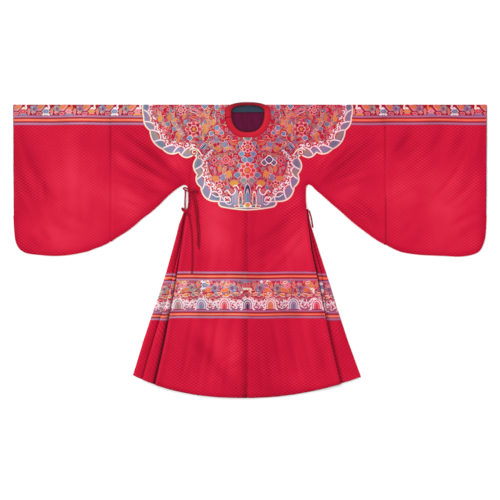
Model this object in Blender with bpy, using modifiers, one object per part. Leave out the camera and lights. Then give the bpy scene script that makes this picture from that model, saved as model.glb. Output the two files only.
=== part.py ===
"""Round-collar robe of woven silk, laid out flat on its back.

Frame: metres, +Z up, the robe lies on Z = 0 with its shoulders towards +Y. Every size below is in
millimetres and is turned to metres where a mesh is made. A point of the cloth is given by how far
it lies out from the centre seam and how far it drops below the fold along the shoulders.
"""

import math
from typing import NamedTuple

import bmesh
import bpy
import numpy as np
from mathutils import Vector
from mathutils.bvhtree import BVHTree
from mathutils.geometry import delaunay_2d_cdt

MM = 0.001

# Driving sizes of the garment
CENTRE_X = -11.25  # the centre seam; the left sleeve is the shorter one as laid
SHOULDER_Y = 655.0  # the fold along the shoulders and the tops of the sleeves
HEM_DROP = 1321.0  # lowest point of the hem below that fold
WALL = 1.5  # damask and its interlining
THIN = 1.0  # lining silk
GAP = 0.3  # between pieces at a seam, and between layers

# Heights above the floor of the outer face of each layer
INNER_TOP = 4.6  # the wearer's right front, where the closing front covers it
OUTER_TOP = 6.4  # the closing front, and the centre seam it is sewn along
PLEAT_PITCH = 2.0  # from one layer of a side pleat to the next
PLEAT_LAYERS = 4
OVER_PLEATS = (PLEAT_LAYERS - 1) * PLEAT_PITCH + WALL + GAP + WALL  # the front over the pleats

# Mesh fineness
CURVE_STEP = 8.0
HEM_ROWS = 12
HEM_PASSES = 6  # to find where a side edge meets the hem
GUIDE_SPACE = 12.0  # the least distance between the net's guide points
EDGE_SPACE = 9.0  # and from one to the outline
FRONT_STEP = 48.0
BACK_STEP = 105.0
EDGE_STEP = 40.0
GUIDE_STEP = 48.0
SEAM_LEVEL = 8.0  # the lower fold runs level this near the sleeve's seam
ROUND_STEPS = 4  # facets round a folded edge
SHARP_ANGLE = 50.0

PLEAT_TOP = 466.0  # drop at which the side seam ends and the side pleats begin
PLEAT_TUCK = 52.0  # how far the pleats run in under the front
PLEAT_TUCK_TOP = 8.0
PLEAT_TUCK_OVER = 160.0  # the height over which that grows
PLEAT_INNER = 6.0  # how far short of the floor layer the inner bends stop
PLEAT_SPARE = 16.0  # the front stays lifted this far past the pleats
PLEAT_SLOPE = 70.0  # and comes down over this
PLEAT_LEAD = 94.0  # it starts to rise this far above them
PLEAT_LEAD_OVER = 80.0
PANEL_POINTS = (0.2, 0.5, 0.8, 1.0)
PLEAT_ARCH = 4.0  # the most that a pleat's face rises between its edges
PLEAT_ARCH_SHARE = 0.09  # of its width
PLEAT_TURN_STEPS = 3
SIDE_ROWS = 14
SIDE_START = 5.0  # the first point of a free side edge, below the side seam's end
SIDE_STEP = 36.0
SIDE_FOOT = 24.0  # and the last, above the hem's end
PLEAT_HEM_SHORT = 1.0
BACK_HEM_SHORT = 4.0  # the back's hem is hidden by the front's

CENTRE_EASE = 100.0  # the right front comes down from the centre seam over this
NECK_EASE = 60.0  # and has no such rise at the shoulder
CALM_EDGE = 6.0  # the front has no ridge this near a folded edge
CALM_OVER = 30.0
LAPEL_CLEAR = 4.0  # the left front is flat to this far beyond the closing front's edge
LAPEL_EASE = 30.0


class Point(NamedTuple):
    """A point of an edge: out from the centre seam, and down from the shoulder fold."""

    out: float
    drop: float


class Hem(NamedTuple):
    """How the hem rises towards the side: rise = full * (out / reach) ** power."""

    full: float
    reach: float
    power: float


class Pleats(NamedTuple):
    """One height of a side's pleats: the silhouette, and the widths that show of both pleats."""

    drop: float
    edge_out: float
    outer_width: float
    inner_width: float


class Fold(NamedTuple):
    """A soft ridge of the front, from one end to the other, with its half width and height."""

    out_0: float
    drop_0: float
    out_1: float
    drop_1: float
    half_width: float
    height: float


class Side(NamedTuple):
    """One side of the robe as it is laid out."""

    name: str
    sign: int
    seam_out: float
    cuff_out: float
    sleeve: tuple
    flank: tuple
    hem: Hem
    pleats: tuple
    folds: tuple


LEFT = Side(
    name="left",
    sign=-1,
    seam_out=615.0,
    cuff_out=1055.0,
    # the underside of the sleeve, from the armpit to the cuff
    sleeve=(
        Point(285, 362), Point(300, 368), Point(331, 389), Point(367, 421), Point(403, 457),
        Point(439, 488), Point(475, 515), Point(511, 547), Point(547, 574), Point(583, 596),
        Point(619, 619), Point(655, 637), Point(691, 650), Point(727, 663), Point(799, 677),
        Point(871, 682), Point(943, 677), Point(1000, 668), Point(1031, 646), Point(1046, 612),
        Point(1052, 560), Point(1055, 500),
    ),
    flank=(Point(275, 366), Point(269, 378), Point(267, 430), Point(270, PLEAT_TOP)),
    hem=Hem(99, 510, 2.5),
    pleats=(
        Pleats(484, 288, 8, 4), Pleats(538, 308, 21, 3), Pleats(610, 326, 29, 3),
        Pleats(758, 367, 35, 15), Pleats(853, 397, 43, 21), Pleats(961, 435, 42, 39),
        Pleats(1060, 468, 45, 51), Pleats(1185, 506, 47, 59),
    ),
    folds=(
        Fold(300, 350, 590, 135, 34, 7), Fold(330, 395, 596, 230, 34, 6),
        Fold(1010, 195, 865, 450, 36, 6), Fold(960, 560, 895, 640, 30, 5),
        Fold(420, 470, 560, 400, 28, 5), Fold(925, 330, 915, 450, 26, 4),
        Fold(60, 700, 150, 1250, 34, 6), Fold(210, 880, 275, 1270, 30, 6),
        Fold(20, 1130, 110, 1180, 26, 4),
    ),
)

RIGHT = Side(
    name="right",
    sign=1,
    seam_out=621.0,
    cuff_out=1077.75,
    sleeve=(
        Point(277, 360), Point(290, 367), Point(308, 385), Point(344, 416), Point(380, 448),
        Point(416, 479), Point(452, 511), Point(488, 542), Point(524, 569), Point(560, 596),
        Point(596, 619), Point(632, 637), Point(668, 655), Point(704, 667), Point(776, 677),
        Point(884, 682), Point(956, 685), Point(1010, 677), Point(1046, 659), Point(1066, 620),
        Point(1074, 575), Point(1077.75, 500),
    ),
    flank=(Point(269, 364), Point(264, 378), Point(263, 430), Point(266, PLEAT_TOP)),
    hem=Hem(86, 488, 2.0),
    pleats=(
        Pleats(484, 275, 4, 3), Pleats(538, 284, 5, 6), Pleats(574, 295, 8, 8),
        Pleats(655, 321, 18, 14), Pleats(745, 350, 21, 21), Pleats(835, 379, 35, 16),
        Pleats(911, 402, 52, 6), Pleats(1069, 454, 75, 3), Pleats(1190, 498, 90, 3),
    ),
    folds=(
        Fold(310, 352, 585, 130, 36, 7), Fold(668, 248, 762, 150, 28, 5),
        Fold(845, 440, 1015, 180, 36, 6), Fold(925, 575, 1060, 505, 30, 5),
        Fold(440, 430, 580, 540, 30, 5), Fold(255, 490, 20, 675, 34, 6),
        Fold(40, 560, 30, 1010, 30, 4), Fold(120, 880, 190, 1255, 32, 6),
        Fold(255, 930, 320, 1240, 28, 5),
    ),
)

# The edge of the closing front, from the collar to the armpit and down to the side pleats
LAPEL_START = 50.0
LAPEL = (
    Point(165, 104), Point(222, 190), Point(250, 286), Point(261, 362), Point(265, 400),
    Point(266, 430), Point(269, PLEAT_TOP),
)


class Ring(NamedTuple):
    """Half sizes of a rounded outline: half width, reach towards the hem, reach towards the back."""

    half_width: float
    lower: float
    upper: float


# The collar: a narrow band that stands round the neck, pressed flat
COLLAR_X = -10.0
COLLAR_Y = 621.0
COLLAR_OUTER = Ring(104.0, 114.75, 45.0)
COLLAR_INNER = Ring(73.0, 89.0, 30.0)
COLLAR_SQUARENESS = 2.4
COLLAR_THICK = 3.2
COLLAR_BOTTOM = 3.4
COLLAR_ROUND = 1.0
COLLAR_STATIONS = 48
BACK_NECK_DROP = 6.0

FACING_WIDTH = 150.0
FACING_TOP_Y = 648.0
FACING_BOTTOM_Y = 621.0
LINING_WIDTH = 196.0
LINING_BOTTOM_Y = 508.0
LINING_TOP = WALL + GAP + THIN

TIE_STEP = 14.0
TIE_CLEAR = 0.6  # between a tie and the cloth that it lies on
TIE_LOOK = 0.6  # how far to each side the cloth under a tie is looked at, as a share of its width
TIE_SOFT = 0.25  # the bevel of a tie's edges, as a share of its thickness


class Stretch(NamedTuple):
    """A point along a tie, out and drop on its side, with the tie's width and thickness there."""

    out: float
    drop: float
    width: float
    thick: float


class Tie(NamedTuple):
    """A tie's piece: its name, its side's sign, its stretches, and the heights of its ends.

    Without heights it lies on the cloth; a bow lies level on the highest place under it.
    """

    name: str
    sign: int
    stretches: tuple
    ends: tuple = ()


TIES = (
    Tie("upper_tie_bow", -1, (
        Stretch(288, 376, 6, 2.4), Stretch(282, 378, 12, 3), Stretch(273, 382, 14, 3.2),
        Stretch(262, 387, 7, 4), Stretch(253, 389, 11, 6.5), Stretch(243, 391, 7, 4),
        Stretch(233, 393, 13, 3.2), Stretch(226, 394.5, 11, 3), Stretch(221, 395.5, 6, 2.4),
    )),
    Tie("upper_tie_tail_long", -1, (
        Stretch(243, 401, 6, 1.8), Stretch(235, 420, 6, 1.8), Stretch(230, 443, 6, 1.8),
        Stretch(224, 480, 6, 1.8), Stretch(220.5, 529, 6, 1.8), Stretch(216, 569, 6, 1.8),
        Stretch(216, 610, 6, 1.8), Stretch(219, 652, 6, 1.8),
    )),
    Tie("upper_tie_tail_short", -1, (
        Stretch(254, 402, 6, 1.8), Stretch(246, 428, 6, 1.8), Stretch(239, 460, 6, 1.8),
        Stretch(233, 500, 6, 1.8), Stretch(229.5, 545, 6, 1.8), Stretch(227, 592, 6, 1.8),
        Stretch(228.5, 638, 6, 1.8),
    )),
    Tie("lower_tie_bow", -1, (
        Stretch(294, 467, 6, 2.4), Stretch(288, 472, 12, 3), Stretch(282, 478, 7, 4),
        Stretch(276, 483, 10, 6), Stretch(270, 489, 7, 4), Stretch(264, 495, 12, 3),
        Stretch(259, 500, 6, 2.4),
    )),
    Tie("lower_tie_tail", -1, (
        Stretch(262, 508, 6, 1.8), Stretch(257, 532, 6, 1.8), Stretch(252, 565, 6, 1.8),
        Stretch(250, 596, 6, 1.8), Stretch(248, 650, 6, 1.8), Stretch(247.5, 704, 6, 1.8),
        Stretch(250, 763, 6, 1.8),
    )),
)
# Two more run beside the body: one from bow to bow, one down beside the pleats
SIDE_TIES = (
    Tie("side_tie_left", -1, (
        Stretch(281, 382, 6, 1.8), Stretch(280, 400, 6, 1.8), Stretch(281, 425, 6, 1.8),
        Stretch(281.5, 448, 6, 1.8), Stretch(281, 470.4, 6, 1.8),
    ), (5.4, 4.6)),
    Tie("side_tie_right", 1, (
        Stretch(277.9, 476, 5, 1.8), Stretch(283.5, 496, 5, 1.8), Stretch(288.5, 516, 5, 1.8),
        Stretch(291.5, 536, 5, 1.8), Stretch(295, 556, 5, 1.8),
    ), (0.0, 0.0)),
)

RED = (0.56, 0.006, 0.035)
COLLAR_RED = (0.60, 0.008, 0.03)
BURGUNDY = (0.10, 0.005, 0.04)
TEAL = (0.035, 0.075, 0.085)
TIE_RED = (0.22, 0.004, 0.02)


def place(sign, out, drop):
    """The world's X and Y, in millimetres, of a point given by out and drop."""
    return CENTRE_X + sign * out, SHOULDER_Y - drop


def smooth(points, step):
    """A curve through the points (Catmull-Rom), with a point at most every step."""
    p = np.array(points, float)
    p = np.vstack([2 * p[0] - p[1], p, 2 * p[-1] - p[-2]])
    curve = []
    for a, b, c, d in zip(p, p[1:], p[2:], p[3:]):
        count = max(1, math.ceil(np.linalg.norm(c[:2] - b[:2]) / step))
        for t in np.arange(count) / count:
            curve.append(
                0.5 * (2 * b + (c - a) * t + (2 * a - 5 * b + 4 * c - d) * t**2
                       + (3 * b - a - 3 * c + d) * t**3)
            )
    return np.array(curve + [p[-2]])


def thinned(curve, within, longest):
    """The points of a curve that its shape needs, none further apart than longest."""
    kept, last = [curve[0]], 0
    for i in range(2, len(curve)):
        chord = curve[i] - curve[last]
        length = np.linalg.norm(chord)
        between = curve[last + 1:i] - curve[last]
        bulge = np.abs(between[:, 0] * chord[1] - between[:, 1] * chord[0]).max() / length
        if bulge > within or length > longest:
            last = i - 1
            kept.append(curve[last])
    return np.array(kept + [curve[-1]])


def straight(start, end, step):
    """Points of a straight line at most step apart, both ends included."""
    count = max(1, math.ceil(math.dist(start, end) / step))
    return np.linspace(start, end, count + 1)


def ease(value):
    """A soft step from 0 to 1."""
    t = min(1.0, max(0.0, value))
    return t * t * (3 - 2 * t)


def hem_drop(side, out):
    """How far down the hem is at that distance out from the centre seam."""
    return HEM_DROP - side.hem.full * (max(out, 0.0) / side.hem.reach) ** side.hem.power


def pleats_at(side, drop):
    """The pleat sizes at one height: between the table's rows, or on along its last two."""
    rows = np.array(side.pleats)
    values = [np.interp(drop, rows[:, 0], rows[:, k]) for k in (1, 2, 3)]
    if drop > rows[-1, 0]:
        past = (drop - rows[-1, 0]) / (rows[-1, 0] - rows[-2, 0])
        values = rows[-1, 1:] + past * (rows[-1, 1:] - rows[-2, 1:])
    return Pleats(drop, *values)


def front_edge(side, drop):
    """How far out the front's side edge lies, beside the pleats that show."""
    row = pleats_at(side, drop)
    return row.edge_out - row.outer_width - row.inner_width


def tuck_at(drop):
    """How far the pleats run in under the front, from little where they begin."""
    return PLEAT_TUCK_TOP + (PLEAT_TUCK - PLEAT_TUCK_TOP) * ease((drop - PLEAT_TOP) / PLEAT_TUCK_OVER)


def back_edge(side, drop):
    """How far out the back's side edge lies, hidden under the front."""
    return front_edge(side, drop) - tuck_at(drop) - GAP


def underarm(side):
    """The folded edge under the arm: from the side seam's end, by the armpit, to the cuff."""
    return smooth([*reversed(side.flank), *side.sleeve], CURVE_STEP)


def fold_height(side, out, drop):
    """The height of the soft ridges at a point of the front, calm along the folded edges."""
    height = 0.0
    for fold in side.folds:
        start = np.array([fold.out_0, fold.drop_0])
        along = np.array([fold.out_1, fold.drop_1]) - start
        length = np.linalg.norm(along)
        there = np.array([out, drop]) - start
        t = there @ along / length**2
        away = abs(along[0] * there[1] - along[1] * there[0]) / length
        if 0 < t < 1 and away < fold.half_width:
            across = math.cos(0.5 * math.pi * away / fold.half_width) ** 2
            height += fold.height * across * math.sin(math.pi * t) ** 0.7
    if height > 0:
        edge = underarm(side)
        near = np.linalg.norm(edge - (out, drop), axis=1).min()
        height *= ease((min(near, drop) - CALM_EDGE) / CALM_OVER)
    return height


def over_pleats(side, out, drop):
    """How much of the lift over the pleats the front has at a point, from 0 to 1."""
    inward = front_edge(side, drop) - out
    across = 1 - ease((inward - tuck_at(drop) - PLEAT_SPARE) / PLEAT_SLOPE)
    return across * ease((drop - (PLEAT_TOP - PLEAT_LEAD)) / PLEAT_LEAD_OVER)


def right_front(out, drop):
    """The right front's outer face: at the centre seam it is level with the closing front."""
    rise = (1 - ease(out / CENTRE_EASE)) * ease(drop / NECK_EASE)
    base = INNER_TOP + (OUTER_TOP - INNER_TOP) * rise
    return base + (OVER_PLEATS - base) * over_pleats(RIGHT, out, drop)


def closing_front(out, drop):
    """The closing front's outer face, which lies on the left front."""
    return OUTER_TOP + (OVER_PLEATS - OUTER_TOP) * over_pleats(LEFT, out, drop)


def level_front(out, drop):
    """The outer face of a front that lies straight on its back."""
    return INNER_TOP


def lapel_out(drop):
    """How far out the closing front's edge lies, down to the armpit."""
    return float(np.interp(drop, [p.drop for p in LAPEL], [p.out for p in LAPEL]))


def left_ridges(out, drop):
    """The ridges of the left front, which is flat where the closing front covers it."""
    return fold_height(LEFT, out, drop) * ease((out - lapel_out(drop) - LAPEL_CLEAR) / LAPEL_EASE)


def inset(edge, radii, turn, at_seam):
    """A folded edge moved in on to the cloth, and the outward direction at each point.

    The point at the seam that lengthens the sleeve keeps to that seam.
    """
    along = np.gradient(edge, axis=0)
    along /= np.linalg.norm(along, axis=1)[:, None]
    outward = turn * np.stack([-along[:, 1], along[:, 0]], axis=1)
    outward[at_seam] = (0, turn)
    return edge - outward * np.asarray(radii)[:, None], outward


def inside(point, outline):
    """Whether a point is inside an outline."""
    x, y = point
    odd = False
    for (x0, y0), (x1, y1) in zip(outline, np.roll(outline, -1, axis=0)):
        if (y0 > y) != (y1 > y) and x < x0 + (y - y0) * (x1 - x0) / (y1 - y0):
            odd = not odd
    return odd


def fold_guides(side):
    """Points along the crests and the feet of a side's ridges, which the net passes through."""
    guides = []
    for fold in side.folds:
        start = np.array([fold.out_0, fold.drop_0])
        end = np.array([fold.out_1, fold.drop_1])
        along = (end - start) / np.linalg.norm(end - start)
        across = np.array([-along[1], along[0]])
        for away in (-1, 0, 1):
            line = straight(start, end, GUIDE_STEP) + across * away * fold.half_width
            guides += list(line[1:-1] if away else line)
    for drop in side_drops(side):
        foot = front_edge(side, drop) - tuck_at(drop) - PLEAT_SPARE
        guides += [np.array([foot - share * PLEAT_SLOPE, drop]) for share in (0, 0.5, 1)]
    return guides


def cover(bm, sign, outline, step, height, guides=(), line=()):
    """Fill an outline, given as out and drop, with an even net of triangles.

    The net passes through the guide points that lie well inside, and along the line. The
    outline's vertices come back in the outline's own order.
    """
    def clear(p, others, space):
        return np.linalg.norm(np.array(others) - p, axis=1).min() > space

    fixed = [*outline, *line]
    inner = []
    for p in guides:
        apart = not inner or clear(p, inner, GUIDE_SPACE)
        if apart and inside(p, outline) and clear(p, fixed, EDGE_SPACE):
            inner.append(p)
    low, high = outline.min(axis=0), outline.max(axis=0)
    for j, y in enumerate(np.arange(low[1], high[1], step * 0.87)):
        for x in np.arange(low[0] + (j % 2) * step / 2, high[0], step):
            if inside((x, y), outline) and clear((x, y), fixed + inner, 0.5 * step):
                inner.append(np.array([x, y]))
    count = len(outline)
    edges = [(i, (i + 1) % count) for i in range(count)]
    edges += [(count + i, count + i + 1) for i in range(len(line) - 1)]
    points = np.vstack([outline, *line, *inner]) * MM
    found, _, faces, origin, _, _ = delaunay_2d_cdt(
        [Vector(p) for p in points], edges, [list(range(count))], 1, 1e-7
    )
    verts = []
    for p in found:
        out, drop = p.x / MM, p.y / MM
        verts.append(bm.verts.new([c * MM for c in (*place(sign, out, drop), height(out, drop))]))
    for face in faces:
        bm.faces.new([verts[i] for i in face])
    at = {i: verts[k] for k, sources in enumerate(origin) for i in sources}
    return [at[i] for i in range(count)]


def round_over(bm, sign, front, back, outward):
    """Join the front and the back along a folded edge with a round strip."""
    columns = []
    for top, bottom, out in zip(front, back, outward):
        radius = (top.co.z - bottom.co.z) / 2
        column = [top]
        for k in range(1, ROUND_STEPS):
            angle = math.pi * (0.5 - k / ROUND_STEPS)
            reach = radius * math.cos(angle)
            column.append(bm.verts.new((
                top.co.x + sign * out[0] * reach,
                top.co.y - out[1] * reach,
                bottom.co.z + radius + radius * math.sin(angle),
            )))
        columns.append([*column, bottom])
    for one, two in zip(columns, columns[1:]):
        for k in range(ROUND_STEPS):
            bm.faces.new((one[k], one[k + 1], two[k + 1], two[k]))


def neck_cut(side, end_drop):
    """The neck edge of a front, from the centre seam up to end_drop, facet by facet of the collar."""
    curve = []
    for k in range(COLLAR_STATIONS // 2 + 1):
        angle = -math.pi / 2 + side.sign * 2 * math.pi * k / COLLAR_STATIONS
        x, y = ring_point(COLLAR_OUTER, angle, GAP)
        point = np.array([side.sign * (x - CENTRE_X), SHOULDER_Y - y])
        if point[1] < end_drop:
            t = (curve[-1][1] - end_drop) / (curve[-1][1] - point[1])
            curve.append(curve[-1] + t * (point - curve[-1]))
            break
        if k:
            curve.append(point)
    return np.array([(GAP / 2, SHOULDER_Y - COLLAR_Y + COLLAR_OUTER.lower + GAP), *curve])


def ring_point(ring, angle, grow=0.0):
    """A point of a rounded outline about the collar's middle, with angle 90 at the back."""
    c, s = math.cos(angle), math.sin(angle)
    power = 2 / COLLAR_SQUARENESS
    reach = (ring.upper if s > 0 else ring.lower) + grow
    x = COLLAR_X + math.copysign(abs(c) ** power, c) * (ring.half_width + grow)
    return x, COLLAR_Y + math.copysign(abs(s) ** power, s) * reach


def layered(side, shoulder, lower, at_seam, front_rest, back_rest, front_height, ridges, line=()):
    """A front and a back in one piece, folded at the shoulder and under the arm.

    Each rest gives what follows the shoulder fold and what follows the lower fold on that
    layer's outline, both as out and drop; the back may have more of its own than the front.
    """
    bm = bmesh.new()
    top_in, top_out = inset(shoulder, [front_height(*p) / 2 for p in shoulder], -1, at_seam)
    low_in, low_out = inset(lower, [front_height(*p) / 2 for p in lower], 1, at_seam)
    low_in, low_out = low_in[::-1], low_out[::-1]
    layers = []
    for rest, step, height, guides, seam in (
        (front_rest, FRONT_STEP, lambda o, d: front_height(o, d) + ridges(o, d),
         fold_guides(side), line),
        (back_rest, BACK_STEP, lambda o, d: 0.0, (), ()),
    ):
        outer_end, inner_end = (np.array(part).reshape(-1, 2) for part in rest)
        outline = np.vstack([top_in, outer_end, low_in, inner_end])
        verts = cover(bm, side.sign, outline, step, height, guides, seam)
        start = len(top_in) + len(outer_end)
        layers.append((verts[:len(top_in)], verts[start:start + len(low_in)]))
    (front_top, front_low), (back_top, back_low) = layers
    round_over(bm, side.sign, front_top, back_top, top_out)
    round_over(bm, side.sign, front_low, back_low, low_out)
    return bm


def split_at(curve, out):
    """Cut the lower fold in two at the sleeve's seam, level for a few millimetres on each side."""
    first = next(i for i, p in enumerate(curve) if p[0] >= out and p[1] > 500)
    t = (out - curve[first - 1][0]) / (curve[first][0] - curve[first - 1][0])
    drop = (curve[first - 1] + t * (curve[first] - curve[first - 1]))[1]
    inner = [p for p in curve[:first] if p[0] < out - SEAM_LEVEL or p[1] < 500]
    outer = [p for p in curve[first:] if p[0] > out + SEAM_LEVEL]
    before = np.array([*inner, (out - SEAM_LEVEL / 2, drop)])
    after = np.array([(out + SEAM_LEVEL / 2, drop), *outer])
    return (np.vstack([thinned(before, 1.0, EDGE_STEP), (out, drop)]),
            np.vstack([(out, drop), thinned(after, 1.0, EDGE_STEP)]))


def body_half(side, front_height, ridges, front_rows, line=()):
    """One half of the body with the upper sleeve: front and back cut in one."""
    seam = side.seam_out - GAP / 2
    lower, _ = split_at(underarm(side), seam)
    neck = neck_cut(side, INNER_TOP / 2)
    shoulder = straight((neck[-1][0], 0), (seam, 0), EDGE_STEP)
    top = front_height(seam, 0) / 2
    seam_line = straight((seam, top), (seam, lower[-1][1] - top), EDGE_STEP)[1:-1]
    centre = GAP / 2
    back_rows = [(back_edge(side, d), d) for d in side_drops(side)]
    back_hem = hem_line(side, back_rows[-1][0], BACK_HEM_SHORT)
    back_neck = [(centre, BACK_NECK_DROP)]
    back_middle = straight(back_hem[-1], back_neck[0], BACK_STEP)[1:-1]
    front_hem = hem_line(side, front_rows[-1][0], 0.0)
    front_middle = straight(front_hem[-1], neck[0], FRONT_STEP)[1:-1]
    if front_rows[-1][1] > front_hem[0][1] - 1:
        front_hem = front_hem[1:]
    return layered(
        side, shoulder, lower, -1,
        (seam_line, [*front_rows, *front_hem, *front_middle, *neck[:-1]]),
        (seam_line, [*back_rows, *back_hem, *back_middle, *back_neck]),
        front_height, ridges, line,
    )


def side_drops(side):
    """The heights at which a free side edge has its points, above the hem."""
    end = HEM_DROP - side.hem.full - SIDE_FOOT
    return [PLEAT_TOP + SIDE_START, *np.linspace(PLEAT_TOP + SIDE_STEP, end, SIDE_ROWS)]


def hem_line(side, from_out, short):
    """The hem from the side edge to the centre seam, a little short where it is hidden."""
    outs = np.linspace(from_out, GAP / 2, HEM_ROWS + 1)
    return [(o, hem_drop(side, o) - short) for o in outs]


def front_side(side):
    """The free side edge of a front, beside the pleats, and its corner at the hem."""
    rows = [(front_edge(side, d), d) for d in side_drops(side)]
    corner = hem_drop(side, front_edge(side, rows[-1][1]))
    for _ in range(HEM_PASSES):
        corner = hem_drop(side, front_edge(side, corner))
    return [*rows, (front_edge(side, corner), corner - 0.5)]


def make_left_half():
    """The wearer's right half: its own front lies flat under the closing front."""
    heights = np.linspace(LAPEL_START / 2, LAPEL[3].drop, 9)
    lapel = [(lapel_out(d) + LAPEL_CLEAR, d) for d in heights]
    front_rows = [(back_edge(LEFT, d), d) for d in side_drops(LEFT)]
    bm = body_half(LEFT, level_front, left_ridges, front_rows, lapel)
    return keep(bm, "body_left", DAMASK, WALL)


def make_right_half():
    """The wearer's left half, whose front shows from the centre seam to the side pleats."""
    def ridges(out, drop):
        return fold_height(RIGHT, out, drop)

    bm = body_half(RIGHT, right_front, ridges, front_side(RIGHT))
    return keep(bm, "body_right", DAMASK, WALL)


def make_closing_front():
    """The front panel that closes over the wearer's right side, from the centre seam."""
    neck = neck_cut(LEFT, LAPEL_START)
    lapel = smooth([tuple(neck[-1]), *LAPEL], EDGE_STEP)[1:]
    side_rows = front_side(LEFT)
    hem = hem_line(LEFT, side_rows[-1][0], 0.0)[1:]
    middle = straight(hem[-1], neck[0], FRONT_STEP)[1:-1]
    outline = np.array([*neck, *lapel, *side_rows, *hem, *middle])
    bm = bmesh.new()
    cover(bm, LEFT.sign, outline, FRONT_STEP,
          lambda o, d: closing_front(o, d) + fold_height(LEFT, o, d), fold_guides(LEFT))
    return keep(bm, "closing_front", DAMASK, WALL)


def make_sleeve(side):
    """The lower part of a sleeve, from the seam that lengthens it to the open cuff."""
    seam = side.seam_out + GAP / 2
    _, lower = split_at(underarm(side), seam)
    shoulder = straight((seam, 0), (side.cuff_out, 0), EDGE_STEP)
    top = INNER_TOP / 2
    cuff = straight((side.cuff_out, top), (side.cuff_out - top, lower[-1][1]), EDGE_STEP)[1:-1]
    seam_line = straight((seam, lower[0][1] - top), (seam, top), EDGE_STEP)[1:-1]

    def ridges(out, drop):
        return fold_height(side, out, drop)

    rest = (cuff, seam_line)
    bm = layered(side, shoulder, lower, 0, rest, rest, level_front, ridges)
    return keep(bm, f"sleeve_{side.name}", DAMASK, WALL)


def zigzag(side, drop):
    """The path of a side's pleats at one height, as out and height, from the floor upwards."""
    row = pleats_at(side, drop)
    shown = row.outer_width + row.inner_width
    end = shown + tuck_at(drop)
    turn = PLEAT_PITCH / 2
    levels = [WALL / 2 + k * PLEAT_PITCH for k in range(PLEAT_LAYERS)]
    start = turn + WALL / 2

    def bend(inward, low, way):
        angles = np.linspace(-math.pi / 2, math.pi / 2, PLEAT_TURN_STEPS + 1)
        return [(inward + way * turn * math.cos(a), low + turn + turn * math.sin(a))
                for a in angles]

    def panel(first, width, level):
        arch = min(PLEAT_ARCH, PLEAT_ARCH_SHARE * width)
        return [(first + t * width, level + arch * math.sin(math.pi * t)) for t in PANEL_POINTS]

    path = [(end, levels[0]), (end * 0.5, levels[0])]
    path += bend(start, levels[0], -1)
    path += panel(start, row.outer_width - start, levels[1])
    path += bend(end - PLEAT_INNER, levels[1], 1)
    path += bend(row.outer_width + start, levels[2], -1)
    short = min(PLEAT_INNER, row.inner_width / 2)
    path += panel(row.outer_width + start, row.inner_width - short, levels[3])
    path += [(end - PLEAT_INNER, levels[3])]
    return [(row.edge_out - s, z) for s, z in path]


def make_pleats(side):
    """The side flap of a side, folded in two pleats that show beside the front."""
    bm = bmesh.new()
    drops = side_drops(side)
    rows = [[(out, drop, z) for out, z in zigzag(side, drop)] for drop in drops]
    foot = []
    for k in range(len(rows[0])):
        drop = drops[-1]
        for _ in range(HEM_PASSES):
            out, z = zigzag(side, drop)[k]
            drop = hem_drop(side, out) - PLEAT_HEM_SHORT
        foot.append((out, drop, z))
    rows.append(foot)
    grid = [[bm.verts.new([c * MM for c in (*place(side.sign, out, drop), z)])
             for out, drop, z in row] for row in rows]
    for one, two in zip(grid, grid[1:]):
        for k in range(len(one) - 1):
            bm.faces.new((one[k], one[k + 1], two[k + 1], two[k]))
    made = keep(bm, f"pleats_{side.name}", DAMASK, WALL)
    made.modifiers["wall"].offset = 0
    return made


def make_collar():
    """The collar band, a closed ring pressed flat round the neck."""
    bm = bmesh.new()
    low, high, soft = COLLAR_BOTTOM, COLLAR_BOTTOM + COLLAR_THICK, COLLAR_ROUND
    rings = []
    for k in range(COLLAR_STATIONS):
        angle = 2 * math.pi * k / COLLAR_STATIONS
        section = [(0, low + soft), (0, high - soft), (soft, high)]
        outer = [(*ring_point(COLLAR_OUTER, angle, -s), z) for s, z in section]
        inner = [(*ring_point(COLLAR_INNER, angle, s), z) for s, z in section]
        under = [(*ring_point(COLLAR_INNER, angle, soft), low),
                 (*ring_point(COLLAR_OUTER, angle, -soft), low)]
        loop = outer + inner[::-1] + under
        rings.append([bm.verts.new([c * MM for c in p]) for p in loop])
    for one, two in zip(rings, rings[1:] + rings[:1]):
        for k in range(len(one)):
            n = (k + 1) % len(one)
            bm.faces.new((one[k], one[n], two[n], two[k]))
    return keep(bm, "collar_band", COLLAR_CLOTH)


def make_patch(name, width, top_y, bottom_y, finish):
    """A flat piece of lining silk on the inside of the back, behind the neck."""
    bm = bmesh.new()
    left, right = COLLAR_X - width / 2, COLLAR_X + width / 2
    outline = np.array([
        *straight((left, top_y), (right, top_y), 50)[:-1],
        *straight((right, top_y), (right, bottom_y), 50)[:-1],
        *straight((right, bottom_y), (left, bottom_y), 50)[:-1],
        *straight((left, bottom_y), (left, top_y), 50)[:-1],
    ])
    outline[:, 0] -= CENTRE_X
    outline[:, 1] = SHOULDER_Y - outline[:, 1]
    cover(bm, 1, outline, 50, lambda o, d: LINING_TOP)
    return keep(bm, name, finish, THIN)


def surface_height(trees, x, y):
    """The highest of the surfaces at a place, in millimetres, or the floor."""
    heights = [0.0]
    for tree in trees:
        hit = tree.ray_cast(Vector((x * MM, y * MM, 1.0)), Vector((0, 0, -1)))[0]
        if hit is not None:
            heights.append(hit.z / MM)
    return max(heights)


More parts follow.
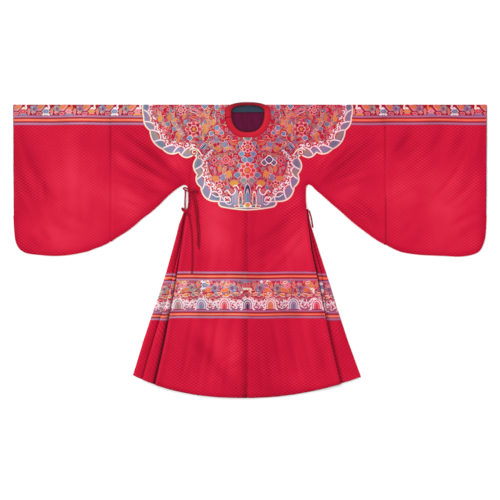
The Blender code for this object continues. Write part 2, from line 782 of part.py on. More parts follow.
def tie_lows(tie, curve, along, trees):
    """The height of a tie's underside at each point of its curve."""
    if tie.ends:
        share = np.linspace(0, 1, len(curve))
        return [tie.ends[0] + t * (tie.ends[1] - tie.ends[0]) for t in share]
    lows = []
    for (out, drop, width, _), (ahead, down) in zip(curve, along):
        under = []
        for across in (-TIE_LOOK, 0, TIE_LOOK):
            for on in (-0.5, 0, 0.5):
                point = (out - down * across * width + ahead * on * TIE_STEP,
                         drop + ahead * across * width + down * on * TIE_STEP)
                under.append(surface_height(trees, *place(tie.sign, *point)) + TIE_CLEAR)
        lows.append(max(under))
    if tie.name.endswith("bow"):
        lows = [max(lows)] * len(lows)
    return lows


def make_tie(tie, trees=()):
    """A tie's piece: a flat band laid along its stretches."""
    curve = smooth(tie.stretches, TIE_STEP)
    along = np.gradient(curve[:, :2], axis=0)
    along /= np.linalg.norm(along, axis=1)[:, None]
    lows = tie_lows(tie, curve, along, trees)
    bm = bmesh.new()
    rings = []
    for (out, drop, width, thick), (ahead, down), low in zip(curve, along, lows):
        half, soft = width / 2, TIE_SOFT * thick
        section = [(-half, low + soft), (-half, low + thick - soft), (-half + soft, low + thick),
                   (half - soft, low + thick), (half, low + thick - soft), (half, low + soft),
                   (half - soft, low), (-half + soft, low)]
        rings.append([
            bm.verts.new([c * MM for c in (*place(tie.sign, out - down * a, drop + ahead * a), z)])
            for a, z in section
        ])
    for one, two in zip(rings, rings[1:]):
        for k in range(len(one)):
            n = (k + 1) % len(one)
            bm.faces.new((one[k], one[n], two[n], two[k]))
    bm.faces.new(rings[0])
    bm.faces.new(rings[-1])
    return keep(bm, tie.name, TIE_CLOTH)


def material(name, colour, roughness):
    """A plain cloth material."""
    made = bpy.data.materials.new(name)
    made.use_nodes = True
    shader = made.node_tree.nodes["Principled BSDF"]
    shader.inputs["Base Color"].default_value = (*colour, 1.0)
    shader.inputs["Roughness"].default_value = roughness
    shader.inputs["Metallic"].default_value = 0.0
    return made


def keep(bm, name, finish, wall=0.0):
    """Make a piece's object, with the wall's thickness inwards where it is a sheet."""
    bmesh.ops.recalc_face_normals(bm, faces=bm.faces)
    highest = max(bm.faces, key=lambda face: face.calc_center_median().z)
    if highest.normal.z < 0:
        bmesh.ops.reverse_faces(bm, faces=bm.faces)
    mesh = bpy.data.meshes.new(name)
    bm.to_mesh(mesh)
    bm.free()
    mesh.shade_smooth()
    mesh.set_sharp_from_angle(angle=math.radians(SHARP_ANGLE))
    mesh.materials.append(finish)
    made = bpy.data.objects.new(name, mesh)
    ROBE.objects.link(made)
    if wall:
        shell = made.modifiers.new("wall", "SOLIDIFY")
        shell.thickness = wall * MM
        shell.offset = -1
        shell.use_even_offset = False
    return made


def tree_of(made):
    """A search tree of a piece's outer face, before its wall gets its thickness."""
    mesh = made.data
    return BVHTree.FromPolygons([v.co for v in mesh.vertices],
                                [tuple(p.vertices) for p in mesh.polygons])


for old in list(bpy.data.objects):
    bpy.data.objects.remove(old, do_unlink=True)
ROBE = bpy.data.collections.new("round_collar_robe")
bpy.context.scene.collection.children.link(ROBE)
DAMASK = material("red_silk_damask", RED, 0.55)
COLLAR_CLOTH = material("red_satin", COLLAR_RED, 0.45)
LINING_CLOTH = material("burgundy_lining_silk", BURGUNDY, 0.5)
FACING_CLOTH = material("teal_facing_silk", TEAL, 0.6)
TIE_CLOTH = material("maroon_tie_cloth", TIE_RED, 0.6)

left_half = make_left_half()
right_half = make_right_half()
closing = make_closing_front()
for one_side in (LEFT, RIGHT):
    make_sleeve(one_side)
    make_pleats(one_side)
make_collar()
make_patch("neck_facing", FACING_WIDTH, FACING_TOP_Y, FACING_BOTTOM_Y + GAP, FACING_CLOTH)
make_patch("back_lining", LINING_WIDTH, FACING_BOTTOM_Y, LINING_BOTTOM_Y, LINING_CLOTH)
cloth_under_ties = [tree_of(closing), tree_of(left_half)]
for one_tie in TIES:
    make_tie(one_tie, cloth_under_ties)
for one_tie in SIDE_TIES:
    make_tie(one_tie)
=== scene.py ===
"""Round-collar robe of woven red silk, laid out flat on its back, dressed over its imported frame.

Sizes are in millimetres and turn to metres where a mesh is made. A place on the cloth is given by
how far it lies out from the centre seam and how far it drops below the fold along the shoulders.
A place in a woven pattern is given by how far it lies to the right of that seam, and its drop.
"""

import logging
import math
from dataclasses import dataclass
from enum import Enum
from typing import NamedTuple, Sequence

import bpy
import numpy as np
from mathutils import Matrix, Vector
from mathutils.bvhtree import BVHTree
from mathutils.geometry import delaunay_2d_cdt
from mathutils.kdtree import KDTree


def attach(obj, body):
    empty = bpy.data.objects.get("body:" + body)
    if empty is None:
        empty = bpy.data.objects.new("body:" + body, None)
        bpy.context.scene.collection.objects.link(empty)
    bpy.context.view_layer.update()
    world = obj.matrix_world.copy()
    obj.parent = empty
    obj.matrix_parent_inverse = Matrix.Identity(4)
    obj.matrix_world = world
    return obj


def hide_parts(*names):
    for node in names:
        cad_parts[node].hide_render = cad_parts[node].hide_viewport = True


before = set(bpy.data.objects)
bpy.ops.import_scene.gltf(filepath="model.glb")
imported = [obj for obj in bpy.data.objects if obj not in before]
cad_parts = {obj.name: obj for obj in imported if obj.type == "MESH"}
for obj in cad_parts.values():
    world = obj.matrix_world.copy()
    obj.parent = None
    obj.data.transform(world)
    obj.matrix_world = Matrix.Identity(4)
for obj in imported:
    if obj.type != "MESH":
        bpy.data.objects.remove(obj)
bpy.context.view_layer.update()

LOG = logging.getLogger("robe")
MM = 0.001

# The lay of the robe
CENTRE_X = -11.25
SHOULDER_Y = 655.0
HEM_DROP = 1321.0
ARMPIT_DROP = 500.0
WALL = 1.5
THIN = 1.0
GAP = 0.3

# Heights above the floor of the outer face of each layer
INNER_TOP = 4.6
OUTER_TOP = 6.4
PLEAT_PITCH = 2.0
PLEAT_LAYERS = 4
OVER_PLEATS = 9.3

# Fineness of the nets, and how close their points come to outlines and to each other
NET_STEP = 7.5
BACK_STEP = 45.0
EDGE_STEP = 7.0
UNDER_STEP = 21.0
BACK_HEM_STEP = 20.0
CLEAR_SHARE = 0.5
ROW_SHARE = 0.87
ROUND_STEPS = 6
SEAM_LEVEL = 8.0
SETTLING = 6  # how often a corner at the hem is looked for again
HEM_CLEAR = 0.5
PLEAT_HEM_UP = 1.0
BACK_HEM_UP = 4.0
CUT_CLEAR = 0.2
SEAM_REACH = 20.0  # a figure is left out of a side only if it stops this far short of the seam
# the painted edge shade: how far apart its points are, and how wide it is
EDGE_SHADE_STEP = 9.0
EDGE_SHADE_WIDTH = 4.5
SHARP_DEGREES = 50.0
WELD = 1e-7
PLAIN_INSIDE = 30000  # a piece with more faces than this gets a coarser inside
INSIDE_RATIO = 0.56
SLACK = 0.3  # figures keep their outlines to this many millimetres
STRAIGHT = 0.05  # a point this little off the line past it is not needed, in millimetres

# The side pleats, and how the front lies over them
PLEAT_TOP = 466.0
PLEAT_TUCK = 52.0
PLEAT_TUCK_TOP = 8.0
PLEAT_TUCK_OVER = 160.0
PLEAT_INNER = 6.0
PLEAT_SPARE = 16.0
PLEAT_SLOPE = 70.0
PLEAT_LEAD = 94.0
PLEAT_LEAD_OVER = 80.0
CENTRE_EASE = 100.0
NECK_EASE = 60.0
CALM_EDGE = 6.0
CALM_OVER = 30.0
ROLL_HEIGHT = 4.5
ROLL_IN = 13.0
ROLL_WIDTH = 11.0
ROLL_OVER = 120.0

# The closing front's edge
LAPEL_START = 50.0
LAPEL_CLEAR = 4.0
LAPEL_EASE = 30.0
LAPEL_SHADE = 0.4  # beside its edge, from this far under it, and over this width
LAPEL_UNDER = 1.0
LAPEL_BLUR = 7.0
LAPEL = ((165, 104), (222, 190), (250, 286), (261, 362), (265, 400), (266, 430), (269, PLEAT_TOP))
COVERED_OUT = 400.0  # below the arm, the closing front covers all that is nearer than this
COVERED_IN = 12.0  # and above, all that lies this far within its edge
COVERED_DROP = 60.0

# Broad swells of cloth that isn't pressed quite flat: wave length, direction and height
SWELLS = (
    (310.0, 0.4, 0.7), (215.0, 1.9, 0.55), (160.0, 2.7, 0.4), (240.0, 1.2, 0.5), (120.0, 0.1, 0.22),
    (95.0, 2.2, 0.18),
)
VALLEY = 0.3  # the painted shade at the foot of a crease, for each 10 mm of its height
CREASE_SHARE = 0.5  # how much of its full height a crease keeps in the pressed silk
TONE_SHARE = 0.42  # of the ramp from gleam to deep shade
FOLD_SHADE = 0.38
FOLD_WIDTH = 17.0
HEM_SHADE = 0.34
HEM_IN = 6.0
HEM_WIDTH = 10.0
# the share of the painted gleam and shade that the hidden back gets
BACK_TONE = 0.5
ROUND_SHADE = 0.12  # at the lower end of a rounded fold
SEAM_DIP = 1.1
SEAM_DIP_WIDTH = 5.0
SEAM_SHADE = 0.32
SEAM_CALM = 0.7  # how much of a crease is gone on the sleeve's seam
SEAM_FADE = (130.0, 220.0, 0.8)  # the sleeve's seam pales from this drop, over this, by this share
CENTRE_CALM = 0.6
CENTRE_SHADE = 0.16
CENTRE_NARROW = 1.8  # how much narrower the centre seam's shade is on the half that lies beside it


class Thread(Enum):
    """Colours of the figured wefts, as sRGB hex."""

    CREAM = "f6e6d4"
    WHITE = "f6e4e8"
    GILT = "e2a184"
    GOLD = "d9874c"
    AMBER = "e59a48"
    APRICOT = "e67e46"
    ORANGE = "ee5c3c"
    CORAL = "de4254"
    ROSE = "f08f98"
    PINK = "f3b4ba"
    PEACH = "f7957c"
    RED = "bf1b3a"
    CRIMSON = "a8112f"
    MAROON = "7c0b2c"
    BRICK = "ae4b58"
    GARNET = "971a2c"
    BLUSH = "dc9aa2"
    MAUVE = "a57088"
    LILAC = "c27f9f"
    VIOLET = "8c5074"
    GREY_LILAC = "8e87a4"
    SLATE = "75849a"
    BLUE = "7695b6"
    TEAL = "4c8796"
    NAVY = "45406e"
    SAGE = "a09086"
    SILVER = "cfbfc6"


T = Thread  # short, for the tables of figures
THREADS = list(Thread)
GROUND = -1  # in place of a thread's number, where the damask's ground shows

# How much of their colour the figures keep: on each half, where the right half's figures lie in painted
# shade, darker and redder; and in the band of waves, which is darker and redder too
PAINTED_SIDE_SHADE = {-1: (1.0, 1.0, 1.0), 1: (0.94, 0.64, 0.75)}
SEA_TINT = (0.98, 0.80, 0.88)
SEA_DROPS = (846.0, 938.0)
# white and cream threads are darkened only half as much
BRIGHT = (T.WHITE, T.CREAM)


class Hem(NamedTuple):
    """How the hem rises towards the side: rise = full * (out / reach) ** power."""

    full: float
    reach: float
    power: float


class Crease(NamedTuple):
    """A soft ridge of the cloth, which may bow to one side and lean to one side."""

    out_0: float
    drop_0: float
    out_1: float
    drop_1: float
    half_width: float
    height: float
    bow: float = 0.0
    lean: float = 0.0


class Tone(NamedTuple):
    """A broad soft zone where the silk gleams (below 0) or lies in its own shade (above 0)."""

    out: float
    drop: float
    long: float
    wide: float
    turn: float
    value: float


class Patch(NamedTuple):
    """A figure of one thread: its outline, right of the centre seam and down."""

    thread: Thread
    outline: np.ndarray


class Net(NamedTuple):
    """A flat net of triangles: its points, faces, the thread of each face, and its outline."""

    points: np.ndarray
    faces: np.ndarray
    threads: np.ndarray
    rim: list


def ease(value: np.ndarray) -> np.ndarray:
    """A soft step from 0 to 1."""
    t = np.clip(value, 0.0, 1.0)
    return t * t * (3 - 2 * t)


def bell(value: np.ndarray) -> np.ndarray:
    """1 at 0, falling softly to both sides."""
    return np.exp(-(value**2))


def paired(*columns: np.ndarray) -> np.ndarray:
    """Rows of places from their columns."""
    return np.stack(columns, axis=1)


def turned(x: float, y: float, angle: float) -> tuple:
    """A point turned about the origin by an angle in radians."""
    c, s = math.cos(angle), math.sin(angle)
    return c * x - s * y, s * x + c * y


def smooth(points: Sequence, step: float, closed: bool = False) -> np.ndarray:
    """A curve through the points (Catmull-Rom), with a point at most every step.

    Args:
        points: rows of which the first two columns are a place.
        step: the largest distance between two points of the curve.
        closed: whether the curve returns to its first point.
    Returns:
        The curve's rows, with the last point only where it is open.
    """
    p = np.array(points, float)
    ends = (p[-1], (p[0], p[1])) if closed else (2 * p[0] - p[1], (2 * p[-1] - p[-2],))
    p = np.vstack([ends[0], p, *ends[1]])
    curve = []
    for a, b, c, d in zip(p, p[1:], p[2:], p[3:]):
        count = max(1, math.ceil(np.linalg.norm(c[:2] - b[:2]) / step))
        for t in np.arange(count) / count:
            square, cube = 2 * a - 5 * b + 4 * c - d, 3 * b - a - 3 * c + d
            curve.append(0.5 * (2 * b + (c - a) * t + square * t**2 + cube * t**3))
    return np.array(curve if closed else curve + [p[-2]])


def straight(start: Sequence, end: Sequence, step: float) -> np.ndarray:
    """Points of a straight line at most step apart, both ends included."""
    count = max(1, math.ceil(math.dist(start, end) / step))
    return np.linspace(start, end, count + 1)


def spaced(start: float, end: float, step: float) -> np.ndarray:
    """Even values from start to end, at most step apart."""
    return straight((start,), (end,), step)[:, 0]


def run_of(curve: np.ndarray) -> np.ndarray:
    """How far each point lies along a curve."""
    return np.concatenate([[0.0], np.cumsum(np.linalg.norm(np.diff(curve[:, :2], axis=0), axis=1))])


def even(curve: np.ndarray, step: float) -> np.ndarray:
    """A curve's points, spread evenly along it at most step apart."""
    reach = run_of(curve)
    at = np.linspace(0, reach[-1], max(2, math.ceil(reach[-1] / step) + 1))
    return paired(*(np.interp(at, reach, column) for column in curve.T))


def across(path: np.ndarray, least: float = 0.0) -> np.ndarray:
    """The unit direction to the left of a path's way, at each of its points."""
    along = np.gradient(path, axis=0)
    along /= np.linalg.norm(along, axis=1)[:, None] + least
    return paired(-along[:, 1], along[:, 0])


def area_of(outline: np.ndarray) -> float:
    """The signed area inside an outline, positive where it runs anticlockwise."""
    x, y = outline[:, 0], outline[:, 1]
    return 0.5 * float(np.sum(x * np.roll(y, -1) - np.roll(x, -1) * y))


def inside(points: np.ndarray, outline: np.ndarray) -> np.ndarray:
    """Which of the points are inside an outline."""
    odd = np.zeros(len(points), bool)
    x, y = points[:, 0], points[:, 1]
    for (x0, y0), (x1, y1) in zip(outline, np.roll(outline, -1, axis=0)):
        if y0 != y1:
            odd ^= ((y0 > y) != (y1 > y)) & (x < x0 + (y - y0) * (x1 - x0) / (y1 - y0))
    return odd


def nearest(places: np.ndarray, spots: Sequence) -> tuple:
    """The number of the place nearest to each spot, and how far away it is."""
    tree = KDTree(len(places))
    for i, (x, y) in enumerate(places):
        tree.insert((x, y, 0.0), i)
    tree.balance()
    found = [tree.find((x, y, 0.0)) for x, y in spots]
    return np.array([hit[1] for hit in found], int), np.array([hit[2] for hit in found])


def cut_above(outline: np.ndarray, drop: float) -> np.ndarray:
    """What of an outline lies below a level line, which is where drop is at least that much."""
    kept = []
    for a, b in zip(outline, np.roll(outline, -1, axis=0)):
        if a[1] >= drop:
            kept.append(a)
        if (a[1] >= drop) != (b[1] >= drop):
            kept.append(a + (drop - a[1]) / (b[1] - a[1]) * (b - a))
    return np.array(kept).reshape(-1, 2)


def tuck_at(drop: np.ndarray) -> np.ndarray:
    """How far the pleats run in under the front, from little where they begin."""
    grow = ease((drop - PLEAT_TOP) / PLEAT_TUCK_OVER)
    return PLEAT_TUCK_TOP + (PLEAT_TUCK - PLEAT_TUCK_TOP) * grow


def ridge(points: np.ndarray, crease: Crease) -> tuple:
    """The height of one crease at places on the cloth, and the shade at its feet."""
    start = np.array(crease[0:2])
    along = np.array(crease[2:4]) - start
    length = np.linalg.norm(along)
    there = points - start
    t = there @ along / length**2
    away = (along[0] * there[:, 1] - along[1] * there[:, 0]) / length
    away = away + 4 * crease.bow * t * (1 - t)
    swelling = np.where((t > 0) & (t < 1), np.sin(math.pi * np.clip(t, 0, 1)) ** 0.7, 0)
    width = crease.half_width * (1 + crease.lean * np.sign(away))
    top = np.cos(0.5 * math.pi * np.clip(np.abs(away) / width, 0, 1)) ** 2
    foot = bell((np.abs(away) - width) / (0.42 * width))
    shade = VALLEY * crease.height / 10 * swelling * foot
    return CREASE_SHARE * crease.height * swelling * top, shade


def swell(points: np.ndarray, sign: int) -> np.ndarray:
    """The broad soft swells, at most about a millimetre and never below the cloth's level."""
    total = np.zeros(len(points))
    for k, (wave, angle, height) in enumerate(SWELLS):
        phase = points @ np.array([sign * math.cos(angle), math.sin(angle)]) * 2 * math.pi / wave
        total += height * (1 + np.sin(phase + 1.7 * k))
    return 0.5 * total


@dataclass(frozen=True)
class Side:
    """One side of the robe as it is laid out, with its outline, pleats, creases and tones."""

    name: str
    sign: int
    seam_out: float
    cuff_out: float
    sleeve: tuple
    flank: tuple
    hem: Hem
    pleats: tuple
    creases: tuple
    tones: tuple

    def place(self, points: np.ndarray) -> np.ndarray:
        """The world's X and Y, in millimetres, of places on the cloth."""
        return paired(CENTRE_X + self.sign * points[:, 0], SHOULDER_Y - points[:, 1])

    def seam_rows(self) -> list:
        """Places in even rows beside the centre seam and the sleeve's seam."""
        return [(out + away, drop) for out in (0.0, self.seam_out)
                for away in (-7.0, -3.5, 3.5, 7.0) for drop in np.arange(0.0, HEM_DROP, 8.0)]

    def hem_drop(self, out: np.ndarray) -> np.ndarray:
        """How far down the hem is."""
        return HEM_DROP - self.hem.full * (np.maximum(out, 0) / self.hem.reach) ** self.hem.power

    def pleat_row(self, drop: np.ndarray) -> tuple:
        """The silhouette, and the widths that show of both pleats, at a height."""
        rows = np.array(self.pleats)
        past = np.maximum(0, (drop - rows[-1, 0]) / (rows[-1, 0] - rows[-2, 0]))
        return tuple(np.interp(drop, rows[:, 0], rows[:, k]) + past * (rows[-1, k] - rows[-2, k])
                     for k in (1, 2, 3))

    def front_edge(self, drop: np.ndarray) -> np.ndarray:
        """How far out the front's side edge lies, beside the pleats that show."""
        edge, outer, inner = self.pleat_row(drop)
        return edge - outer - inner

    def back_edge(self, drop: np.ndarray) -> np.ndarray:
        """How far out the back's side edge lies, hidden under the front."""
        return self.front_edge(drop) - tuck_at(drop) - GAP

    def underarm(self, step: float = 8.0) -> np.ndarray:
        """The folded edge under the arm, from the side seam's end, by the armpit, to the cuff."""
        return smooth([*reversed(self.flank), *self.sleeve], step)

    def side_drops(self, step: float) -> np.ndarray:
        """The heights at which a free side edge has its points, above the hem."""
        return spaced(PLEAT_TOP + 5, HEM_DROP - self.hem.full - 24, step)

    def over_pleats(self, points: np.ndarray) -> np.ndarray:
        """How much of the lift over the pleats the front has, from 0 to 1."""
        out, drop = points.T
        inward = self.front_edge(drop) - out
        near = 1 - ease((inward - tuck_at(drop) - PLEAT_SPARE) / PLEAT_SLOPE)
        return near * ease((drop - (PLEAT_TOP - PLEAT_LEAD)) / PLEAT_LEAD_OVER)

    def relief(self, points: np.ndarray) -> tuple:
        """How high the creases stand at places on the front, how deep in shade, and how calm.

        Args:
            points: places as out and drop.
        Returns:
            The height in millimetres, the shade from -1 to 1, and a share that falls to 0 along
            the folded edges, where the cloth is pressed.
        """
        height, shade = np.zeros(len(points)), np.zeros(len(points))
        for crease in self.creases:
            rise, dark = ridge(points, crease)
            height += rise
            shade += dark
        _, away = nearest(self.underarm(), points)
        calm = ease((np.minimum(away, points[:, 1]) - CALM_EDGE) / CALM_OVER)
        shade = shade * calm + self.tone(points) + FOLD_SHADE * bell(away / FOLD_WIDTH)
        over_hem = self.hem_drop(points[:, 0]) - points[:, 1]
        shade += HEM_SHADE * bell((over_hem - HEM_IN) / HEM_WIDTH)
        return (height + swell(points, self.sign)) * calm, shade, calm

    def tone(self, points: np.ndarray) -> np.ndarray:
        """The gleam and the broad shade of the silk at places."""
        total = np.zeros(len(points))
        for t in self.tones:
            far, down = turned(points[:, 0] - t.out, points[:, 1] - t.drop, -math.radians(t.turn))
            total += t.value * np.exp(-((far / t.long) ** 2) - (down / t.wide) ** 2)
        return TONE_SHARE * total

    def edge_roll(self, points: np.ndarray) -> np.ndarray:
        """The rounded roll of the front along its free side edge."""
        out, drop = points.T
        inward = self.front_edge(drop) - out
        full = ROLL_HEIGHT * ease((drop - PLEAT_TOP) / ROLL_OVER)
        return full * bell((inward - ROLL_IN) / ROLL_WIDTH)


LEFT = Side(
    name="left",
    sign=-1,
    seam_out=615.0,
    cuff_out=1055.0,
    sleeve=(
        (285, 362), (300, 368), (331, 389), (367, 421), (403, 457), (439, 488), (475, 515),
        (511, 547), (547, 574), (583, 596), (619, 619), (655, 637), (691, 650), (727, 663),
        (799, 677), (871, 682), (943, 677), (1000, 668), (1031, 646), (1046, 612), (1052, 560),
        (1055, 500),
    ),
    flank=((275, 366), (269, 378), (267, 430), (270, PLEAT_TOP)),
    hem=Hem(99, 510, 2.5),
    pleats=(
        (484, 288, 8, 4), (538, 308, 21, 3), (610, 326, 29, 3), (758, 367, 35, 15),
        (853, 397, 43, 21), (961, 435, 42, 39), (1060, 468, 45, 51), (1185, 506, 47, 59),
    ),
    creases=tuple(Crease(*row) for row in (
        # the upper sleeve, from the armpit up to the shoulder
        (300, 350, 590, 135, 34, 7, 8, 0.2), (330, 395, 596, 230, 34, 6, -6, 0.2),
        (298, 335, 520, 85, 20, 4.5, 12), (340, 390, 600, 320, 20, 3.5, -8),
        (290, 330, 400, 180, 13, 3, 6), (420, 470, 560, 400, 28, 5, 0, -0.2),
        (285, 325, 345, 215, 10, 2.5, -4), (450, 470, 598, 440, 18, 2.6, -5),
        (400, 130, 590, 60, 30, 2.4, 6),
        # the lower sleeve
        (1010, 195, 865, 450, 36, 6, 26, -0.3), (1035, 300, 935, 520, 24, 3.6, 14),
        (960, 560, 895, 640, 30, 5, 6), (925, 330, 915, 450, 18, 4.2, 0, -0.3),
        (800, 120, 770, 600, 60, 3.4, -18), (690, 110, 705, 560, 46, 2.6, 10),
        (870, 480, 720, 560, 34, 2.8, 12), (1040, 90, 985, 300, 20, 3, 6),
        (640, 200, 655, 420, 18, 2.0, 4),
        # the chest and the skirt
        (262, 383, 170, 330, 14, 3, 5), (260, 392, 195, 405, 12, 2.6, -4),
        (255, 486, 180, 540, 14, 3, 6), (60, 700, 150, 1250, 34, 6, 10, 0.2),
        (210, 880, 275, 1270, 30, 6, 6, 0.2), (20, 1130, 110, 1180, 26, 4, 4),
        (130, 560, 185, 1080, 24, 3, 8), (24, 520, 60, 1010, 24, 2.6, 4),
        (165, 1020, 212, 1296, 18, 3.4, 3), (96, 1120, 128, 1306, 16, 3, 2),
        (20, 1190, 34, 1316, 20, 2.6, 0), (255, 1120, 300, 1285, 15, 3, 2),
        (215, 600, 240, 860, 18, 3, 4), (30, 560, 160, 470, 40, 2.4, 10),
    )),
    tones=tuple(Tone(*row) for row in (
        # the side edge, and the sleeve
        (264, 430, 60, 9, 90, 1.5), (776, 385, 260, 150, 90, -1.0), (889, 590, 130, 80, 0, -0.55),
        (1030, 330, 270, 30, 90, 0.5), (935, 317, 175, 30, 112, 0.55), (731, 150, 90, 42, 90, 0.4),
        (610, 200, 120, 22, 90, 0.45), (425, 234, 165, 15, 141, 1.15),
        (440, 290, 130, 13, 151, 0.85), (330, 262, 60, 36, 140, -1.0),
        (400, 352, 90, 22, 141, -0.5), (540, 430, 110, 70, 130, -0.85),
        (385, 330, 60, 22, 138, -0.5), (979, 632, 70, 45, 0, 0.45), (560, 260, 60, 26, 130, -0.5),
        # the chest and the skirt
        (140, 560, 190, 80, 90, -1.15), (232, 452, 140, 14, 90, 0.55), (9, 880, 560, 12, 90, 1.0),
        (20, 1140, 230, 20, 90, 0.7), (110, 1095, 150, 90, 90, -0.75),
        (162, 1150, 140, 30, 127, 0.8), (20, 1290, 100, 36, 0, 0.4), (235, 1010, 70, 60, 90, -0.4),
        (300, 1180, 90, 34, 110, 0.2), (210, 690, 70, 34, 90, 0.25),
    )),
)

RIGHT = Side(
    name="right",
    sign=1,
    seam_out=621.0,
    cuff_out=1077.75,
    sleeve=(
        (277, 360), (290, 367), (308, 385), (344, 416), (380, 448), (416, 479), (452, 511),
        (488, 542), (524, 569), (560, 596), (596, 619), (632, 637), (668, 655), (704, 667),
        (776, 677), (884, 682), (956, 685), (1010, 677), (1046, 659), (1066, 620), (1074, 575),
        (1077.75, 500),
    ),
    flank=((269, 364), (264, 378), (263, 430), (266, PLEAT_TOP)),
    hem=Hem(86, 488, 2.0),
    pleats=(
        (484, 275, 4, 3), (538, 284, 5, 6), (574, 295, 8, 8), (655, 321, 18, 14),
        (745, 350, 21, 21), (835, 379, 35, 16), (911, 402, 52, 6), (1069, 454, 75, 3),
        (1190, 498, 90, 3),
    ),
    creases=tuple(Crease(*row) for row in (
        # the upper sleeve, from the armpit up to the shoulder
        (310, 352, 585, 130, 36, 7, -8, 0.2), (305, 330, 470, 140, 20, 4, -10),
        (340, 385, 600, 300, 24, 4, 8), (300, 325, 370, 200, 12, 2.6, 4),
        (440, 430, 580, 540, 30, 5, 8, 0.2), (400, 440, 500, 520, 16, 2.6, 4),
        (390, 140, 580, 66, 28, 2.2, -5),
        # the lower sleeve
        (668, 248, 762, 150, 28, 5, 4), (845, 440, 1015, 180, 36, 6, -22, 0.3),
        (925, 575, 1060, 505, 30, 5, 8), (720, 330, 860, 190, 30, 3.2, -10),
        (780, 520, 700, 620, 34, 3, 6), (900, 470, 1040, 340, 22, 3.4, -8),
        (640, 480, 820, 400, 40, 2.6, 12), (1050, 90, 1010, 250, 18, 2.6, 5),
        # the front and the skirt
        (255, 490, 20, 675, 34, 6, 16, 0.2), (256, 545, 70, 760, 22, 3.6, 12),
        (250, 430, 120, 500, 15, 3.2, 6), (40, 560, 30, 1010, 30, 4, 4),
        (120, 880, 190, 1255, 32, 6, -6, -0.2), (255, 930, 320, 1240, 28, 5, -5),
        (180, 640, 235, 930, 20, 3.2, -4), (95, 700, 120, 1000, 22, 2.6, 3),
        (60, 1060, 84, 1304, 20, 3.6, 2), (215, 1080, 262, 1284, 16, 3.2, -3),
        (150, 1130, 170, 1298, 15, 2.8, 2), (306, 1080, 345, 1262, 16, 3, 2),
    )),
    tones=tuple(Tone(*row) for row in (
        # the sleeve
        (455, 242, 150, 15, 138, 1.15), (505, 480, 60, 10, 30, 0.5), (702, 166, 80, 24, 116, 0.8),
        (846, 160, 66, 20, 112, 0.6), (947, 166, 70, 22, 115, 0.65), (1062, 350, 320, 22, 90, 0.5),
        (911, 470, 200, 140, 90, -0.85), (690, 400, 150, 110, 90, -0.6),
        (450, 395, 70, 34, 140, -0.5), (540, 480, 80, 30, 40, 0.3), (600, 130, 60, 34, 120, -0.15),
        (360, 230, 60, 26, 135, -0.5),
        # the front and the skirt
        (220, 640, 130, 70, 90, -0.8), (144, 571, 125, 26, 133, 0.7), (22, 565, 130, 15, 90, 0.45),
        (70, 1130, 190, 85, 90, 0.6), (238, 1105, 170, 40, 97, -0.35),
        (150, 1290, 130, 28, 0, 0.5), (330, 1150, 110, 26, 104, 0.3), (110, 690, 60, 40, 130, -0.3),
    )),
)


class Ring(NamedTuple):
    """Half sizes of a rounded outline: half width, reach towards the hem, reach to the back."""

    half_width: float
    lower: float
    upper: float


COLLAR_X = -10.0
COLLAR_Y = 621.0
COLLAR_OUTER = Ring(104.0, 114.75, 45.0)
COLLAR_INNER = Ring(73.0, 89.0, 30.0)
COLLAR_SQUARENESS = 2.4
COLLAR_STATIONS = 48
BACK_NECK_DROP = 6.0


def ring_point(ring: Ring, angle: float, grow: float = 0.0) -> tuple:
    """A point of a rounded outline about the collar's middle, with angle 90 degrees at the back."""
    c, s = math.cos(angle), math.sin(angle)
    power = 2 / COLLAR_SQUARENESS
    reach = (ring.upper if s > 0 else ring.lower) + grow
    x = COLLAR_X + math.copysign(abs(c) ** power, c) * (ring.half_width + grow)
    return x, COLLAR_Y + math.copysign(abs(s) ** power, s) * reach


def neck_cut(side: Side, end_drop: float) -> np.ndarray:
    """The neck edge of a front, from the centre seam up to end_drop, facet by facet of the collar."""
    curve = []
    for k in range(COLLAR_STATIONS // 2 + 1):
        angle = -math.pi / 2 + side.sign * 2 * math.pi * k / COLLAR_STATIONS
        x, y = ring_point(COLLAR_OUTER, angle, GAP)
        point = np.array([side.sign * (x - CENTRE_X), SHOULDER_Y - y])
        if point[1] < end_drop:
            t = (curve[-1][1] - end_drop) / (curve[-1][1] - point[1])
            curve.append(curve[-1] + t * (point - curve[-1]))
            break
        if k:
            curve.append(point)
    return np.array([(GAP / 2, SHOULDER_Y - COLLAR_Y + COLLAR_OUTER.lower + GAP), *curve])


def lapel_out(drop: np.ndarray) -> np.ndarray:
    """How far out the closing front's edge lies, down to the side pleats."""
    return np.interp(drop, [p[1] for p in LAPEL], [p[0] for p in LAPEL])


def shown_edges(triangles: np.ndarray, tops: np.ndarray, places: np.ndarray, kept: set) -> list:
    """The edges where the uppermost figure changes, without needless points on straight runs.

    Args:
        triangles: rows of three numbers of points.
        tops: each triangle's uppermost figure.
        places: the points.
        kept: the numbers of points that stay.
    Returns:
        Pairs of numbers of points.
    """
    sides = np.sort(np.concatenate([triangles[:, pair] for pair in ((0, 1), (1, 2), (2, 0))]))
    keys, at, count = np.unique(sides, axis=0, return_inverse=True, return_counts=True)
    at = at.ravel()
    least, most = np.full(len(keys), 10**6), np.full(len(keys), -2)
    np.minimum.at(least, at, np.tile(tops, 3))
    np.maximum.at(most, at, np.tile(tops, 3))
    near: dict[int, list] = {}
    for a, b in keys[(count == 1) | (least != most)].tolist():
        near.setdefault(a, []).append(b)
        near.setdefault(b, []).append(a)
    for point, ends in near.items():
        if len(ends) == 2 and point not in kept:
            a, b = ends
            way, off = places[b] - places[a], places[point] - places[a]
            away = abs(way[0] * off[1] - way[1] * off[0])
            if away < STRAIGHT * np.linalg.norm(way) and b not in near[a]:
                near[a][near[a].index(point)] = b
                near[b][near[b].index(point)] = a
                near[point] = []
    return [(a, b) for a, ends in near.items() for b in ends if a < b]


